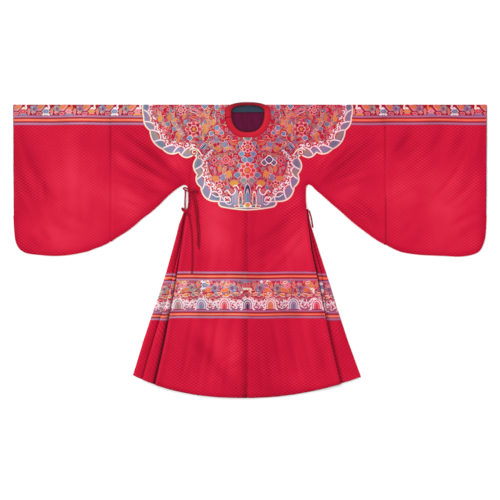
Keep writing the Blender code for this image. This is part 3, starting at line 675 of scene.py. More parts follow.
def joined(parts: Sequence, edges: list, faces: list) -> tuple:
    """Blender's Delaunay net of flat places in millimetres.

    Args:
        parts: arrays of places.
        edges: pairs of places that stay joined.
        faces: outlines that stay, as lists of places.
    Returns:
        The net's places, its triangles, and where its points and its triangles come from.
    """
    points = [Vector(p) for p in np.vstack(parts) * MM]
    found, _, triangles, origin, _, owners = delaunay_2d_cdt(points, edges, faces, 1, WELD)
    return np.array([tuple(p) for p in found]) / MM, np.array(triangles), origin, owners


def weave_net(
    outline: np.ndarray, step: float, patches: Sequence[Patch] = (), guides: Sequence = ()
) -> Net:
    """Fill an outline with an even net of triangles that runs along every figure's edge.

    Args:
        outline: the cloth's edge, as out and drop.
        step: the distance between the net's own points.
        patches: figures in the same places, each of which covers those before it.
        guides: further places that the net passes through.
    Returns:
        The net, whose faces know the thread of the uppermost figure, or that they are ground.
    """
    outline = np.asarray(outline, float)
    if area_of(outline) < 0:
        raise ValueError("the outline runs clockwise")
    low, high = outline.min(axis=0), outline.max(axis=0)
    shown = [p for p in patches if len(p.outline) > 2
             and (p.outline.min(axis=0) < high).all() and (p.outline.max(axis=0) > low).all()]
    fixed = [outline, *(p.outline if area_of(p.outline) > 0 else p.outline[::-1] for p in shown)]
    # First only the outlines, which tells the uppermost figure everywhere
    starts = np.cumsum([0, *map(len, fixed)]).tolist()
    faces = [list(range(a, b)) for a, b in zip(starts, starts[1:])]
    places, triangles, origin, owners = joined(fixed, [], faces)
    corners = places[triangles]
    one, two = corners[:, 1] - corners[:, 0], corners[:, 2] - corners[:, 0]
    sizes = 0.5 * np.abs(one[:, 0] * two[:, 1] - one[:, 1] * two[:, 0])
    owned = np.zeros(len(fixed))
    for owner, size in zip(owners, sizes):
        owned[owner] += size
    # An outline that isn't welded shut would own all of the net, so it is left out
    sound = [i == 0 or owned[i] < 1.2 * abs(area_of(part)) + 1 for i, part in enumerate(fixed)]
    within = [k for k, owner in enumerate(owners) if 0 in owner]
    triangles = triangles[within]
    tops = [max(i for i in owners[k] if sound[i]) for k in within]
    threads = np.array([THREADS.index(shown[t - 1].thread) if t else GROUND for t in tops])
    edge_at = {i: k for k, sources in enumerate(origin) for i in sources if i < len(outline)}
    edges = shown_edges(triangles, threads, places, set(edge_at.values()))
    used, edges = np.unique(np.array(edges), return_inverse=True)
    # Then the edges that show, with the net's own points between them
    rows = []
    for j, y in enumerate(np.arange(low[1], high[1], step * ROW_SHARE)):
        x = np.arange(low[0] + (j % 2) * step / 2, high[0], step)
        rows.append(paired(x, np.full(len(x), y)))
    own = np.vstack([*rows, np.array(guides).reshape(-1, 2)])
    own = own[inside(own, outline)]
    own = own[nearest(places[used], own)[1] > CLEAR_SHARE * step]
    net, inner, origin, _ = joined([places[used], own], edges.reshape(-1, 2).tolist(), [])
    flat = BVHTree.FromPolygons([(x, y, 0.0) for x, y in places], triangles.tolist())
    under = [flat.find_nearest((x, y, 0.0))[2] for x, y in net[inner].mean(axis=1)]
    number = {i: k for k, sources in enumerate(origin) for i in sources}
    return Net(net, inner, threads[under],
               [number[int(np.searchsorted(used, edge_at[i]))] for i in range(len(outline))])


class Cloth:
    """Collects the layers of one piece of cloth, and makes its object."""

    def __init__(self, name: str, side: Side) -> None:
        """Start an empty piece on one side of the robe."""
        self.name = name
        self.side = side
        self.places: list[np.ndarray] = []
        self.marks: list[np.ndarray] = []
        self.shades: list[np.ndarray] = []
        self.faces: list = []
        self.threads: list[int] = []
        self.count = 0

    def add_points(self, places: np.ndarray, marks: np.ndarray, shades: np.ndarray) -> range:
        """Add points: world places and pattern marks in millimetres, and shades from -1 to 1."""
        start = self.count
        self.places.append(np.asarray(places, float))
        self.marks.append(np.asarray(marks, float))
        self.shades.append(np.asarray(shades, float))
        self.count += len(places)
        return range(start, self.count)

    def add_layer(self, net: Net, height: np.ndarray, shade: np.ndarray) -> int:
        """Add a net at the given heights; the first of its points' numbers comes back."""
        spots = self.side.place(net.points)
        start = self.add_points(np.column_stack([spots, height]), net.points, shade)[0]
        self.faces += (net.faces + start).tolist()
        self.threads += net.threads.tolist()
        return start

    def add_quads(self, rows: Sequence, around: bool = False, threads: Sequence = ()) -> None:
        """Join rows of points with quads.

        Args:
            rows: the numbers of each row's points.
            around: whether a row's last point joins its first.
            threads: the thread of each strip between two rows, where it isn't ground.
        """
        for i, (one, two) in enumerate(zip(rows, rows[1:])):
            for k in range(len(one) if around else len(one) - 1):
                n = (k + 1) % len(one)
                self.faces.append((one[k], one[n], two[n], two[k]))
                self.threads.append(threads[i] if len(threads) else GROUND)

    def round_over(self, front: list, back: list, outward: np.ndarray, threads: list) -> None:
        """Join two rows of points along a folded edge with a round strip."""
        places, marks = np.vstack(self.places), np.vstack(self.marks)
        columns = []
        for top, bottom, out in zip(front, back, outward):
            radius = (places[top][2] - places[bottom][2]) / 2
            column = [top]
            for k in range(1, ROUND_STEPS):
                angle = math.pi * (0.5 - k / ROUND_STEPS)
                reach = radius * math.cos(angle)
                spot = (
                    places[top][0] + self.side.sign * out[0] * reach,
                    places[top][1] - out[1] * reach,
                    places[bottom][2] + radius + radius * math.sin(angle),
                )
                mark = marks[top] + out * radius * (0.5 * math.pi - angle)
                column += self.add_points([spot], [mark], [ROUND_SHADE * k / ROUND_STEPS])
            columns.append([*column, bottom])
        self.add_quads(columns, threads=threads)

    def colours(self, threads: np.ndarray, drops: np.ndarray) -> np.ndarray:
        """The colours of corners with these threads and drops: red, green, blue and 1, or 0 on
        the ground."""
        palette = np.array([(*linear(t.value), 1.0) for t in THREADS] + [(0.0, 0.0, 0.0, 0.0)])
        bright = np.array([t in BRIGHT for t in THREADS] + [False])
        sea = (drops > SEA_DROPS[0]) & (drops < SEA_DROPS[1])
        # the figures' painted shade on the right half, and the darker band of waves
        tint = np.array(PAINTED_SIDE_SHADE[self.side.sign]) * np.where(sea[:, None], SEA_TINT, 1.0)
        colours = palette[threads]
        colours[:, :3] *= np.where(bright[threads][:, None], (1.0 + tint) / 2, tint)
        return colours

    def build(self, finish: "Finish", wall: float = 0.0, centred: bool = False) -> bpy.types.Object:
        """Make the object, with its threads' colours, its marks as UVs, and its wall.

        Args:
            finish: the material's maker.
            wall: the cloth's thickness, put on towards the inside.
            centred: put half of the wall on each side instead.
        Returns:
            The new object.
        """
        mesh = bpy.data.meshes.new(self.name)
        mesh.from_pydata((np.vstack(self.places) * MM).tolist(), [], [tuple(f) for f in self.faces])
        sizes = [p.loop_total for p in mesh.polygons]
        corner = np.zeros(len(mesh.loops), int)
        mesh.loops.foreach_get("vertex_index", corner)
        marks = (np.vstack(self.marks) * MM)[corner]
        mesh.uv_layers.new(name="cloth").data.foreach_set("uv", marks.ravel())
        weft = mesh.color_attributes.new(name="weft", type="FLOAT_COLOR", domain="CORNER")
        threads = np.repeat(np.array(self.threads), sizes)
        weft.data.foreach_set("color", self.colours(threads, marks[:, 1] / MM).ravel())
        # the depth attribute: painted shade above 0 and painted gleam below 0, which the materials turn
        # into colour
        depth = mesh.attributes.new(name="depth", type="FLOAT", domain="POINT")
        depth.data.foreach_set("value", np.concatenate(self.shades))
        made = bpy.data.objects.new(self.name, mesh)
        bpy.context.scene.collection.objects.link(made)
        bpy.ops.object.select_all(action="DESELECT")
        made.select_set(True)
        bpy.context.view_layer.objects.active = made
        bpy.ops.object.mode_set(mode="EDIT")
        bpy.ops.mesh.select_all(action="SELECT")
        bpy.ops.mesh.normals_make_consistent(inside=False)
        bpy.ops.object.mode_set(mode="OBJECT")
        if max(mesh.polygons, key=lambda face: face.center.z).normal.z < 0:
            mesh.flip_normals()
        bpy.ops.object.shade_smooth()
        if wall:
            self.thicken(made, wall, centred)
        bpy.ops.object.shade_smooth_by_angle(angle=math.radians(SHARP_DEGREES))
        made.data.materials.append(finish.material())
        return made

    def thicken(self, made: bpy.types.Object, wall: float, centred: bool) -> None:
        """Give the cloth its wall, with a coarser inside where it has many faces."""
        made.vertex_groups.new(name="inside")
        shell = made.modifiers.new("wall", "SOLIDIFY")
        shell.thickness = wall * MM
        shell.offset = 0.0 if centred else -1.0
        shell.use_even_offset = False
        shell.shell_vertex_group = "inside"
        bpy.ops.object.modifier_apply(modifier=shell.name)
        if len(made.data.polygons) > PLAIN_INSIDE:
            thin = made.modifiers.new("plain inside", "DECIMATE")
            thin.vertex_group = "inside"
            thin.ratio = INSIDE_RATIO
            bpy.ops.object.modifier_apply(modifier=thin.name)
        made.vertex_groups.clear()


def linear(code: str) -> tuple:
    """The linear colour of an sRGB hex value such as "c81e46"."""
    values = [int(code[i:i + 2], 16) / 255 for i in (0, 2, 4)]
    return tuple(v / 12.92 if v <= 0.04045 else ((v + 0.055) / 1.055) ** 2.4 for v in values)


def feed(made: bpy.types.Node, inputs: dict) -> None:
    """Set a node's inputs, by name or number: a value, an output, or a node for its first one."""
    for key, value in inputs.items():
        if isinstance(value, bpy.types.Node):
            value = value.outputs[0]
        if isinstance(value, bpy.types.NodeSocket):
            made.id_data.links.new(value, made.inputs[key])
        else:
            made.inputs[key].default_value = value


def node(tree: bpy.types.NodeTree, kind: str, inputs: dict, **settings) -> bpy.types.Node:
    """Add a node with its settings and inputs.

    Args:
        tree: the material's node tree.
        kind: the node's type name after "ShaderNode".
        inputs: for each input, by name or number, a value or what feeds it.
        settings: the node's own settings.
    Returns:
        The new node.
    """
    made = tree.nodes.new("ShaderNode" + kind)
    for key, value in settings.items():
        setattr(made, key, value)
    feed(made, inputs)
    return made


def ramp(tree: bpy.types.NodeTree, value: bpy.types.Node, tones: Sequence) -> bpy.types.Node:
    """A colour ramp with evenly spaced colours."""
    made = node(tree, "ValToRGB", {0: value})
    stops = made.color_ramp.elements
    for _ in tones[2:]:
        stops.new(0.5)
    for k, stop in enumerate(stops):
        stop.position = k / (len(tones) - 1)
    for stop, code in zip(stops, tones):
        stop.color = (*linear(code), 1.0)
    return made


@dataclass(frozen=True)
class Spot:
    """Where a figure stands: its place, its turn in degrees, its size, and whether it is mirrored."""

    right: float = 0.0
    drop: float = 0.0
    turn: float = 0.0
    size: float = 1.0
    mirrored: bool = False

    def put(self, shape: Sequence) -> np.ndarray:
        """A shape about the origin, moved to this place."""
        x, y = np.array(shape, float).T
        x, y = turned(-x if self.mirrored else x, y, math.radians(self.turn))
        return paired(self.right + self.size * x, self.drop + self.size * y)

    def beside(self, x: float, y: float, turn: float = 0.0, size: float = 1.0) -> "Spot":
        """A spot given from this one, in this one's own size and turn."""
        (at,) = self.put([(x, y)])
        way = -1 if self.mirrored else 1
        return Spot(at[0], at[1], self.turn + way * turn, self.size * size, self.mirrored)


HERE = Spot()


def lobed(radius: float, lobes: int, depth: float, squash: float = 1.0, start: float = 0.0) -> np.ndarray:
    """A round outline with lobes, such as a flower's."""
    count = max(10, lobes * (5 if radius > 8 else 3))
    angle = np.arange(count) * 2 * math.pi / count + start
    reach = radius * (1 + depth * np.cos(lobes * (angle - start)))
    return paired(reach * np.cos(angle), squash * reach * np.sin(angle))


def oblong(left: float, right: float, top: float, foot: float) -> np.ndarray:
    """The outline of an upright oblong."""
    return np.array([(left, top), (right, top), (right, foot), (left, foot)], float)


def leaf(length: float, width: float, bend: float = 0.0) -> np.ndarray:
    """A pointed leaf from the origin along the first axis."""
    t = np.linspace(0, 1, 7 if length > 24 else 5)
    half = 0.5 * width * np.sin(math.pi * t) ** 0.8
    middle = bend * np.sin(math.pi * t)
    lower = paired(length * t, middle - half)[1:-1]
    return np.vstack([paired(length * t, middle + half), lower[::-1]])


def stroke(path: Sequence, width: float, taper: float = 0.0) -> np.ndarray:
    """The outline of a line of that width along a path, narrower at its ends by the taper's share."""
    path = np.asarray(path, float)
    half = 0.5 * width * (1 - taper * (2 * np.linspace(0, 1, len(path)) - 1) ** 2)
    edge = across(path, 1e-9) * half[:, None]
    return np.vstack([path + edge, (path - edge)[::-1]])


def spiral(radius: float) -> np.ndarray:
    """The outline of a curl that winds in to its middle."""
    t = np.linspace(0, 1, 15)
    angle, far = 2.5 * math.pi * t, radius * (1 - 0.78 * t)
    return stroke(paired(far * np.cos(angle), far * np.sin(angle)), 0.3 * radius, 0.3)


def hook(radius: float) -> np.ndarray:
    """The outline of a small open curl of foam."""
    angle, far = np.linspace(0.0, 5.0, 9), radius * np.linspace(1.0, 0.66, 9)
    return stroke(paired(far * np.cos(angle), far * np.sin(angle)), 0.84 * radius, 0.25)


def bulged(start: Sequence, end: Sequence, bulge: float, count: int = 9) -> np.ndarray:
    """An arc from start to end that bulges to the left of its way by that much."""
    start, end = np.array(start, float), np.array(end, float)
    chord = end - start
    left = np.array([-chord[1], chord[0]]) / np.linalg.norm(chord)
    t = np.linspace(0, 1, count)
    return start + t[:, None] * chord + np.outer(4 * bulge * t * (1 - t), left)


def slim(outline: np.ndarray, slack: float) -> np.ndarray:
    """An outline without the points that lie within the slack of the line past them."""
    keep = np.ones(len(outline), bool)
    for _ in range(2):
        index = np.flatnonzero(keep)
        if len(index) < 7:
            break
        before, here, after = (outline[np.roll(index, k)] for k in (1, 0, -1))
        way, off = after - before, here - before
        away = np.abs(way[:, 0] * off[:, 1] - way[:, 1] * off[:, 0])
        away /= np.linalg.norm(way, axis=1) + 1e-9
        keep[index[(away < slack) & (np.arange(len(index)) % 2 == 1)]] = False
    return outline[keep]


class Loom:
    """Draws figures in order: each is an outline in one thread, and covers those before it."""

    STRIPES = (T.VIOLET, T.LILAC, T.GARNET, T.ORANGE, T.PEACH, T.VIOLET, T.LILAC)

    def __init__(self, seed: int) -> None:
        """Start an empty pattern with its own dice."""
        self.patches: list[Patch] = []
        self.dice = np.random.default_rng(seed)

    def add(self, thread: Thread, outline: np.ndarray) -> None:
        """Add one outline in one thread."""
        self.patches.append(Patch(thread, outline))

    def lay(self, thread: Thread, spot: Spot, shape: Sequence) -> None:
        """Add a shape at a spot, without its needless points."""
        self.add(thread, slim(spot.put(shape), SLACK))

    def line(self, thread: Thread, path: Sequence, width: float, taper: float = 0.3) -> None:
        """Add a line along a path."""
        self.lay(thread, HERE, stroke(path, width, taper))

    def buds(self, spot: Spot, rows: Sequence) -> None:
        """Add lobed figures beside a spot: rows of a thread, a place, and what `lobed` takes."""
        for thread, x, y, *form in rows:
            self.lay(thread, spot.beside(x, y), lobed(*form))

    def mirror(self) -> None:
        """Add every figure once more on the other side of the centre seam."""
        self.patches += [Patch(p.thread, (p.outline * (-1, 1))[::-1]) for p in self.patches]

    def stripes(self, ends: tuple, rows: Sequence) -> None:
        """Woven stripes from one place to another, which sway a little as laid: drop and width."""
        x = spaced(*ends, 24.0)
        sway = 0.9 * np.sin(x / 83 + 1) + 0.6 * np.sin(x / 37)
        for k, (drop, width) in enumerate(rows):
            top = paired(x, drop + sway)
            thread = self.STRIPES[k % len(self.STRIPES)]
            self.add(thread, np.vstack([top, (top + (0, width))[::-1]]))

    def peony(self, spot: Spot, radius: float, petal: Thread, rim: Thread, heart: Thread) -> None:
        """A peony seen from above, its petals drawn in pale lines."""
        self.lay(rim, spot, lobed(radius, 8, 0.1))
        for k in range(8):
            hole = spot.beside(*turned(0.69 * radius, 0, math.pi * k / 4), 45 * k)
            self.lay(petal if k % 2 else T.CORAL, hole, lobed(0.25 * radius, 3, 0.1, 0.94))
            if radius > 22:
                self.lay(T.MAROON, hole.beside(-0.1 * radius, 0), lobed(2.2, 3, 0.1))
        core = 0.48 * radius
        for thread, reach, lobes in ((rim, core, 6), (petal, core - 3.4, 6), (heart, 0.2 * radius, 5)):
            self.lay(thread, spot, lobed(reach, lobes, 0.14))

    def cloud(self, spot: Spot, width: float, fill: Thread, rim: Thread) -> None:
        """A small rounded cloud with a pale edge and a fleck."""
        self.lay(rim, spot, lobed(0.52 * width, 4, 0.13, 0.86))
        self.lay(fill, spot, lobed(0.44 * width, 4, 0.14, 0.86))
        fleck = T.SLATE if fill is T.BLUE else T.BLUE
        self.lay(fleck, spot.beside(0.1 * width, 0.06 * width), lobed(0.16 * width, 3, 0.1))

    def petal(self, spot: Spot, length: float, width: float, thread: Thread, rim: Thread) -> None:
        """A leaf with a rim."""
        self.lay(rim, spot, leaf(length, width))
        self.lay(thread, spot.beside(0.07 * length, 0), leaf(0.86 * length, width - 5.0))

    def scales(self, path: Sequence, width: float, threads: tuple) -> None:
        """A winding scaled body along a path, with a bar of each thread in turn."""
        line = even(smooth(path, 5), 7.8)
        self.line(T.GILT, line, width)
        half = 0.5 * width - 2.2
        bar = ((-2.5, -half), (1.4, -0.7 * half), (3.0, 0), (1.4, 0.7 * half), (-2.5, half), (-0.8, 0))
        for k, (place, way) in enumerate(zip(line[1:-1], np.gradient(line, axis=0)[1:-1])):
            spot = Spot(*place, math.degrees(math.atan2(way[1], way[0])))
            self.lay(threads[k % len(threads)], spot, bar)
            if k % 2:
                self.lay(T.VIOLET, spot, lobed(2.2, 3, 0.1))

    def strands(self, path: Sequence, threads: tuple, gap: float = 5.6) -> None:
        """Waving strands side by side along a path, one in each thread."""
        line = even(smooth(path, 5), 8.0)
        left, wave = across(line), 1.2 * np.arange(len(line))
        for k, thread in enumerate(threads):
            shift = (k - 0.5 * (len(threads) - 1)) * gap + 1.7 * np.sin(wave + 0.6 * k)
            self.line(thread, line + left * shift[:, None], 0.72 * gap, 0.45)

    def peak(self, spot: Spot, width: float, height: float, threads: tuple) -> None:
        """A rock that stands up as nested pointed arches, its foot at the spot."""
        t = np.array([0, 0.45, 0.6, 0.75, 0.88, 1.0])
        for k, thread in enumerate(threads):
            share = 1 - k * 0.85 / len(threads)
            half = 0.5 * width * share * np.sqrt(1 - (np.maximum(t - 0.4, 0) / 0.6) ** 1.6)
            side = paired(half, -height * (0.4 + 0.6 * share) * t)
            self.lay(thread, spot, np.vstack([side, (side * (-1, 1))[::-1][1:]]))


class Figures:
    """All that is woven into the damask: the cloud collar and the bands."""

    # the cloud collar's scallops on one side, from the shoulder fold to the point on the chest:
    # where they join, and how far each bulges
    JOINS = (
        (470, -4), (467, 58), (439, 116), (381, 201), (310, 214), (243, 226), (228, 240),
        (226, 314), (210, 371), (132, 436), (108, 462), (0, 474),
    )
    BULGES = (4, 9, 16, 14, 18, -3, 16, 12, 24, 7, 2)
    BORDER = 29.0  # the width of the collar's border
    BANDS_SEED = 11
    COLLAR_SEED = 23
    # how a wave's crest runs: shares of the wave's length, and of the border's width
    WAVE = ((-0.06, 0.0), (0.04, 0.3), (0.2, 0.62), (0.45, 0.88), (0.75, 1.0), (1.02, 0.92), (1.24, 0.68))
    # where each wave starts along the edge and which way it runs, towards the notch
    WAVES = (
        (-22, 50), (30, 52), (84, 46), (132, 54), (188, 48), (238, 52), (292, 46), (340, 40),
        (690, -56), (632, -50), (580, -54), (524, -48), (474, -36), (686, 84),
    )
    # the stripes beside the bands: drop and width, in the threads of Loom.STRIPES in turn
    SLEEVE_ROWS = (
        (47.5, 12.5), (50.0, 7.0), (59.5, 20.5), (63.5, 12.0), (67.5, 4.0), (79.5, 13.0), (83.0, 7.0),
    )
    KNEE_ROWS = (
        (752.0, 10.0), (753.5, 6.5), (763.0, 20.5), (768.0, 11.0), (772.0, 3.5), (784.0, 12.0),
        (786.0, 7.0), (922.0, 13.0), (925.0, 7.0), (934.0, 20.0), (938.5, 11.5), (942.5, 4.0),
        (952.5, 10.5), (954.0, 7.0),
    )
    REPEAT = 104.5  # from rock to rock in the knee band, before its small shrinkage
    SHRUNK = 0.995
    # shares of a wave's length, and of the border's width, round the shade within it
    HEART = ((0.2, 0.4), (0.36, 0.66), (0.66, 0.78), (0.96, 0.7), (1.04, 0.4), (0.7, 0.3), (0.34, 0.24))
    # the two shades of each wave in turn
    WATER = ((T.GREY_LILAC, T.SLATE), (T.SLATE, T.GREY_LILAC), (T.MAUVE, T.GREY_LILAC), (T.SLATE, T.SAGE))
    # a line of foam that rises over the notch: place, radius and turn
    NOTCH_FOAM = ((196, 246, 6, 20), (188, 236, 6.5, 60), (179, 228, 6, 100), (170, 219, 7, 140),
                  (161, 211, 6, 180))
    # the foam on each side of a rock in the sea: place and radius
    FOAM = ((22, 881, 7), (32, 891, 8), (46, 895, 7.5), (26, 904, 8), (41, 908, 8.5), (30, 917, 7),
            (52, 913, 6), (12, 869, 6.5), (42, 880, 5.5))
    KNEE_FLOWERS = {-1: (5, 2, 4, 0, 5, 3), 1: (5, 1, 3, 2, 4, 0)}  # from the centre seam out
    # each flower's petals, the curl by it, and what lies on its other side
    FLOWERS = (
        (T.ROSE, T.WHITE, T.AMBER), (T.BLUE, T.WHITE, T.WHITE),
        (T.AMBER, T.CREAM, T.CORAL), (T.ROSE, T.GOLD, T.GREY_LILAC),
        (T.BLUE, T.WHITE, T.WHITE), (T.CORAL, T.CREAM, T.GREY_LILAC),
    )
    # a short leaf, a long wing and a lower leaf, each with its rim and its shade
    WINGS = (
        (T.BLUSH, ((27, 16), (33, 24), (32, 38), (27, 50), (21, 40), (20, 26))),
        (T.APRICOT, ((27, 19), (30, 26), (29, 36), (26, 42), (23, 36), (23, 27))),
        (T.BLUSH, ((60, 14), (67, 4), (99, 1), (96, 11), (82, 27), (72, 31), (62, 27))),
        (T.APRICOT, ((63, 13), (69, 6), (95, 3), (90, 12), (76, 21), (64, 21))),
        (T.GOLD, ((66, 8), (70, 5), (95, 3), (84, 9))),
        (T.LILAC, ((61, 25), (72, 23), (78, 27), (71, 31))),
        (T.BLUSH, ((60, 38), (70, 34), (86, 35), (79, 47), (63, 49))),
        (T.CORAL, ((63, 40), (70, 37), (82, 37), (76, 45), (65, 46))),
    )
    # what lies on the clouded body of a repeat: thread, place, and form
    FLECKS = (
        (T.BLUSH, 47, 36, 9, 4, 0.14, 0.9), (T.VIOLET, 51, 20, 6, 3, 0.2, 1.3),
        (T.SILVER, 42, 12, 3.2, 3, 0.2), (T.SAGE, 56, 30, 5, 4, 0.2), (T.BRICK, 49, 40, 3.4, 3, 0.2),
    )
    # the leaves of the knee band's flowers: place, turn, length, width and thread
    SPRAY = (
        (56, -4, -14, 36, 15, T.AMBER), (18, -7, 16, 30, 12, T.APRICOT),
        (70, 37, 24, 24, 12, T.GOLD), (84, -9, 8, 22, 10, T.CORAL),
    )
    # the rocks' threads in turn
    MOUNDS = (T.NAVY, T.AMBER, T.BLUE, T.CORAL, T.ORANGE, T.VIOLET, T.SAGE, T.CORAL, T.SAGE, T.BLUE,
              T.CORAL)
    # the threads of the small figures that fill bare ground
    SMALL = (T.SAGE, T.BRICK, T.GREY_LILAC, T.CORAL, T.GOLD, T.SLATE, T.MAUVE, T.VIOLET)
    # the collar's figures on one side: scaled bodies, strands, leaves (with turn, length and
    # width) and clouds
    BODIES = (
        (((337, 38), (333, 78), (312, 106), (286, 142)), 21, (T.GREY_LILAC, T.SILVER, T.SLATE)),
        (((398, 22), (395, 60), (381, 84), (360, 100)), 21, (T.SAGE, T.GILT, T.BLUSH)),
        (((208, 156), (190, 122), (171, 88), (184, 58), (168, 16)), 21, (T.GOLD, T.CORAL, T.SAGE)),
        (((190, 262), (188, 290), (178, 318), (158, 338)), 25, (T.SAGE, T.BLUSH, T.SILVER)),
        (((96, 278), (106, 298), (96, 320), (70, 322)), 20, (T.CORAL, T.GILT, T.MAUVE)),
        (((176, 178), (156, 196), (166, 220)), 16, (T.BLUSH, T.MAUVE, T.GOLD)),
    )
    STRANDS = (
        (((274, 12), (242, 24), (206, 46)), (T.SILVER, T.NAVY, T.ROSE, T.GILT, T.SLATE)),
        (((266, 52), (238, 60), (214, 58)), (T.GILT, T.CORAL, T.GOLD)),
        (((420, 12), (416, 44), (418, 76)), (T.BLUSH, T.SAGE, T.ROSE)),
        (((148, 26), (152, 54), (146, 86)), (T.GOLD, T.CORAL, T.SILVER)),
        (((124, 48), (130, 72), (124, 96)), (T.ROSE, T.SAGE)),
        (((88, 158), (66, 170), (44, 170)), (T.APRICOT, T.GOLD, T.CORAL, T.GILT)),
        (((138, 224), (112, 226), (86, 218)), (T.SAGE, T.GOLD, T.MAUVE)),
        (((92, 196), (66, 200), (50, 212)), (T.GILT, T.ROSE, T.APRICOT)),
        (((60, 236), (66, 256), (58, 276)), (T.CORAL, T.BLUSH, T.GILT)),
        (((74, 282), (66, 298), (74, 312)), (T.GOLD, T.CORAL)),
        (((152, 282), (146, 304), (136, 324)), (T.SAGE, T.ROSE, T.LILAC)),
        (((352, 140), (378, 142), (398, 130)), (T.GOLD, T.CORAL)),
        (((292, 168), (316, 178), (340, 176)), (T.GILT, T.ROSE)),
        (((150, 176), (168, 160), (180, 164)), (T.ROSE, T.LILAC, T.GILT)),
        (((96, 340), (90, 362), (94, 386)), (T.CORAL, T.ROSE, T.SAGE)),
        (((168, 344), (176, 366), (168, 386)), (T.SAGE, T.ROSE, T.SILVER)),
        (((26, 356), (34, 372), (30, 392)), (T.CORAL, T.GOLD)),
        (((214, 176), (236, 172), (262, 178)), (T.ROSE, T.SAGE, T.CORAL)),
        (((226, 12), (212, 20), (204, 10)), (T.CORAL, T.ROSE)),
    )
    LEAVES = (
        (352, 34, 88, 42, 18, T.GOLD), (316, 122, 98, 42, 19, T.GOLD), (152, 202, 188, 34, 19, T.GOLD),
        (123, 266, 86, 36, 15, T.GOLD), (80, 292, 80, 34, 16, T.AMBER), (164, 330, 172, 34, 22, T.GOLD),
        (86, 354, 180, 42, 24, T.AMBER), (207, 172, 60, 28, 14, T.CORAL), (308, 62, 20, 26, 14, T.AMBER),
        (430, 84, 100, 30, 14, T.GOLD), (150, 64, 80, 28, 14, T.AMBER), (284, 66, 100, 24, 13, T.SAGE),
        (196, 30, 80, 26, 13, T.GOLD), (364, 58, 84, 26, 13, T.CORAL), (110, 188, 150, 26, 15, T.AMBER),
        (196, 72, 98, 56, 15, T.AMBER), (272, 36, 55, 34, 12, T.GOLD), (442, 44, 96, 36, 12, T.GOLD),
        (214, 132, 120, 30, 13, T.GILT), (96, 232, 60, 30, 13, T.GOLD), (398, 46, 100, 34, 13, T.AMBER),
    )
    CLOUDS = (
        (289, 4, 34, T.SLATE), (193, 6, 30, T.SLATE), (270, 78, 27, T.BLUE), (211, 86, 25, T.SLATE),
        (259, 150, 27, T.BLUE), (222, 141, 24, T.SLATE), (137, 12, 26, T.BLUE), (112, 34, 24, T.SLATE),
        (137, 106, 27, T.BLUE), (163, 131, 24, T.BLUE), (117, 128, 24, T.SLATE),
        (140, 160, 28, T.GREY_LILAC), (100, 180, 32, T.GREY_LILAC), (358, 88, 25, T.SLATE),
        (112, 328, 30, T.GREY_LILAC), (382, 112, 18, T.GREY_LILAC), (163, 360, 22, T.SLATE),
        (88, 374, 20, T.SLATE), (123, 246, 18, T.SLATE), (346, 28, 20, T.SLATE),
        (330, 110, 22, T.GREY_LILAC), (180, 238, 22, T.SLATE), (44, 190, 20, T.NAVY),
    )
    # the waves beside the rocks on the chest
    CRESTS = (
        ((104, 396), (94, 386), (84, 394), (76, 406), (64, 404), (54, 390), (58, 376)),
        ((66, 372), (54, 364), (44, 370), (40, 382)),
        ((160, 404), (140, 416), (120, 414), (108, 426), (96, 444), (82, 452), (72, 446)),
        ((92, 414), (80, 422), (76, 436)),
    )
    # place, radius and heart
    PEONIES = ((242, 111, 37, T.AMBER), (300, 25, 24, T.GILT), (126, 366, 25, T.AMBER),
               (150, 252, 20, T.NAVY), (372, 118, 15, T.GILT))
    # the clouds beside the centre seam: place, width and thread
    MIDDLE_CLOUDS = (
        (26, 222, 27, T.BLUE), (12, 249, 30, T.BLUE), (33, 275, 24, T.SLATE),
        (45, 318, 29, T.SLATE), (18, 342, 29, T.SAGE), (30, 175, 20, T.SLATE),
    )
    ROCK = ((42, 448), (42, 392), (50, 376), (62, 398), (78, 424), (84, 448))

    def __init__(self) -> None:
        """Draw the bands, and the cloud collar over them."""
        bands = Loom(self.BANDS_SEED)
        self.draw_sleeve_bands(bands)
        self.draw_knee_band(bands)
        collar = Loom(self.COLLAR_SEED)
        # The red ground clears the bands from under the collar
        collar.add(T.RED, np.vstack([self.outer(), [(0.0, 473.5), (0.0, -4.0)]]))
        self.draw_collar_figures(collar)
        self.fill(collar, np.vstack([self.outer(), [(0, 473), (0, 0)]]), room=8.6, count=4200)
        self.keep_inside(collar)
        self.draw_collar_border(collar)
        collar.mirror()
        self.draw_collar_middle(collar)
        self.patches = bands.patches + collar.patches

    def outer(self) -> np.ndarray:
        """The cloud collar's scallops on the right side, up to the point on the chest."""
        arcs = zip(self.JOINS, self.JOINS[1:], self.BULGES)
        return np.vstack([bulged(a, b, -bulge)[:-1] for a, b, bulge in arcs])

    def inner(self) -> np.ndarray:
        """The joins moved in by the border's width."""
        joins = np.array(self.JOINS, float)
        moved = joins + across(joins) * self.BORDER
        moved[0] = (joins[0][0] - self.BORDER, joins[0][1])
        moved[-1] = (0, joins[-1][1] - self.BORDER)
        return moved

    def draw_sleeve_bands(self, loom: Loom) -> None:
        """The bands along the tops of the sleeves: a row of flowers and wings over stripes."""
        for way in (-1, 1):
            loom.stripes((way * 440.0, way * 1100.0), self.SLEEVE_ROWS)
            loom.add(T.CRIMSON, oblong(way * 440, way * 1100, -4, 48))
            first, step = (505, 107) if way > 0 else (496, 103)
            for k in range(7):
                self.draw_repeat(loom, Spot(way * (first + k * step), 0, 0, 1, way > 0), k)

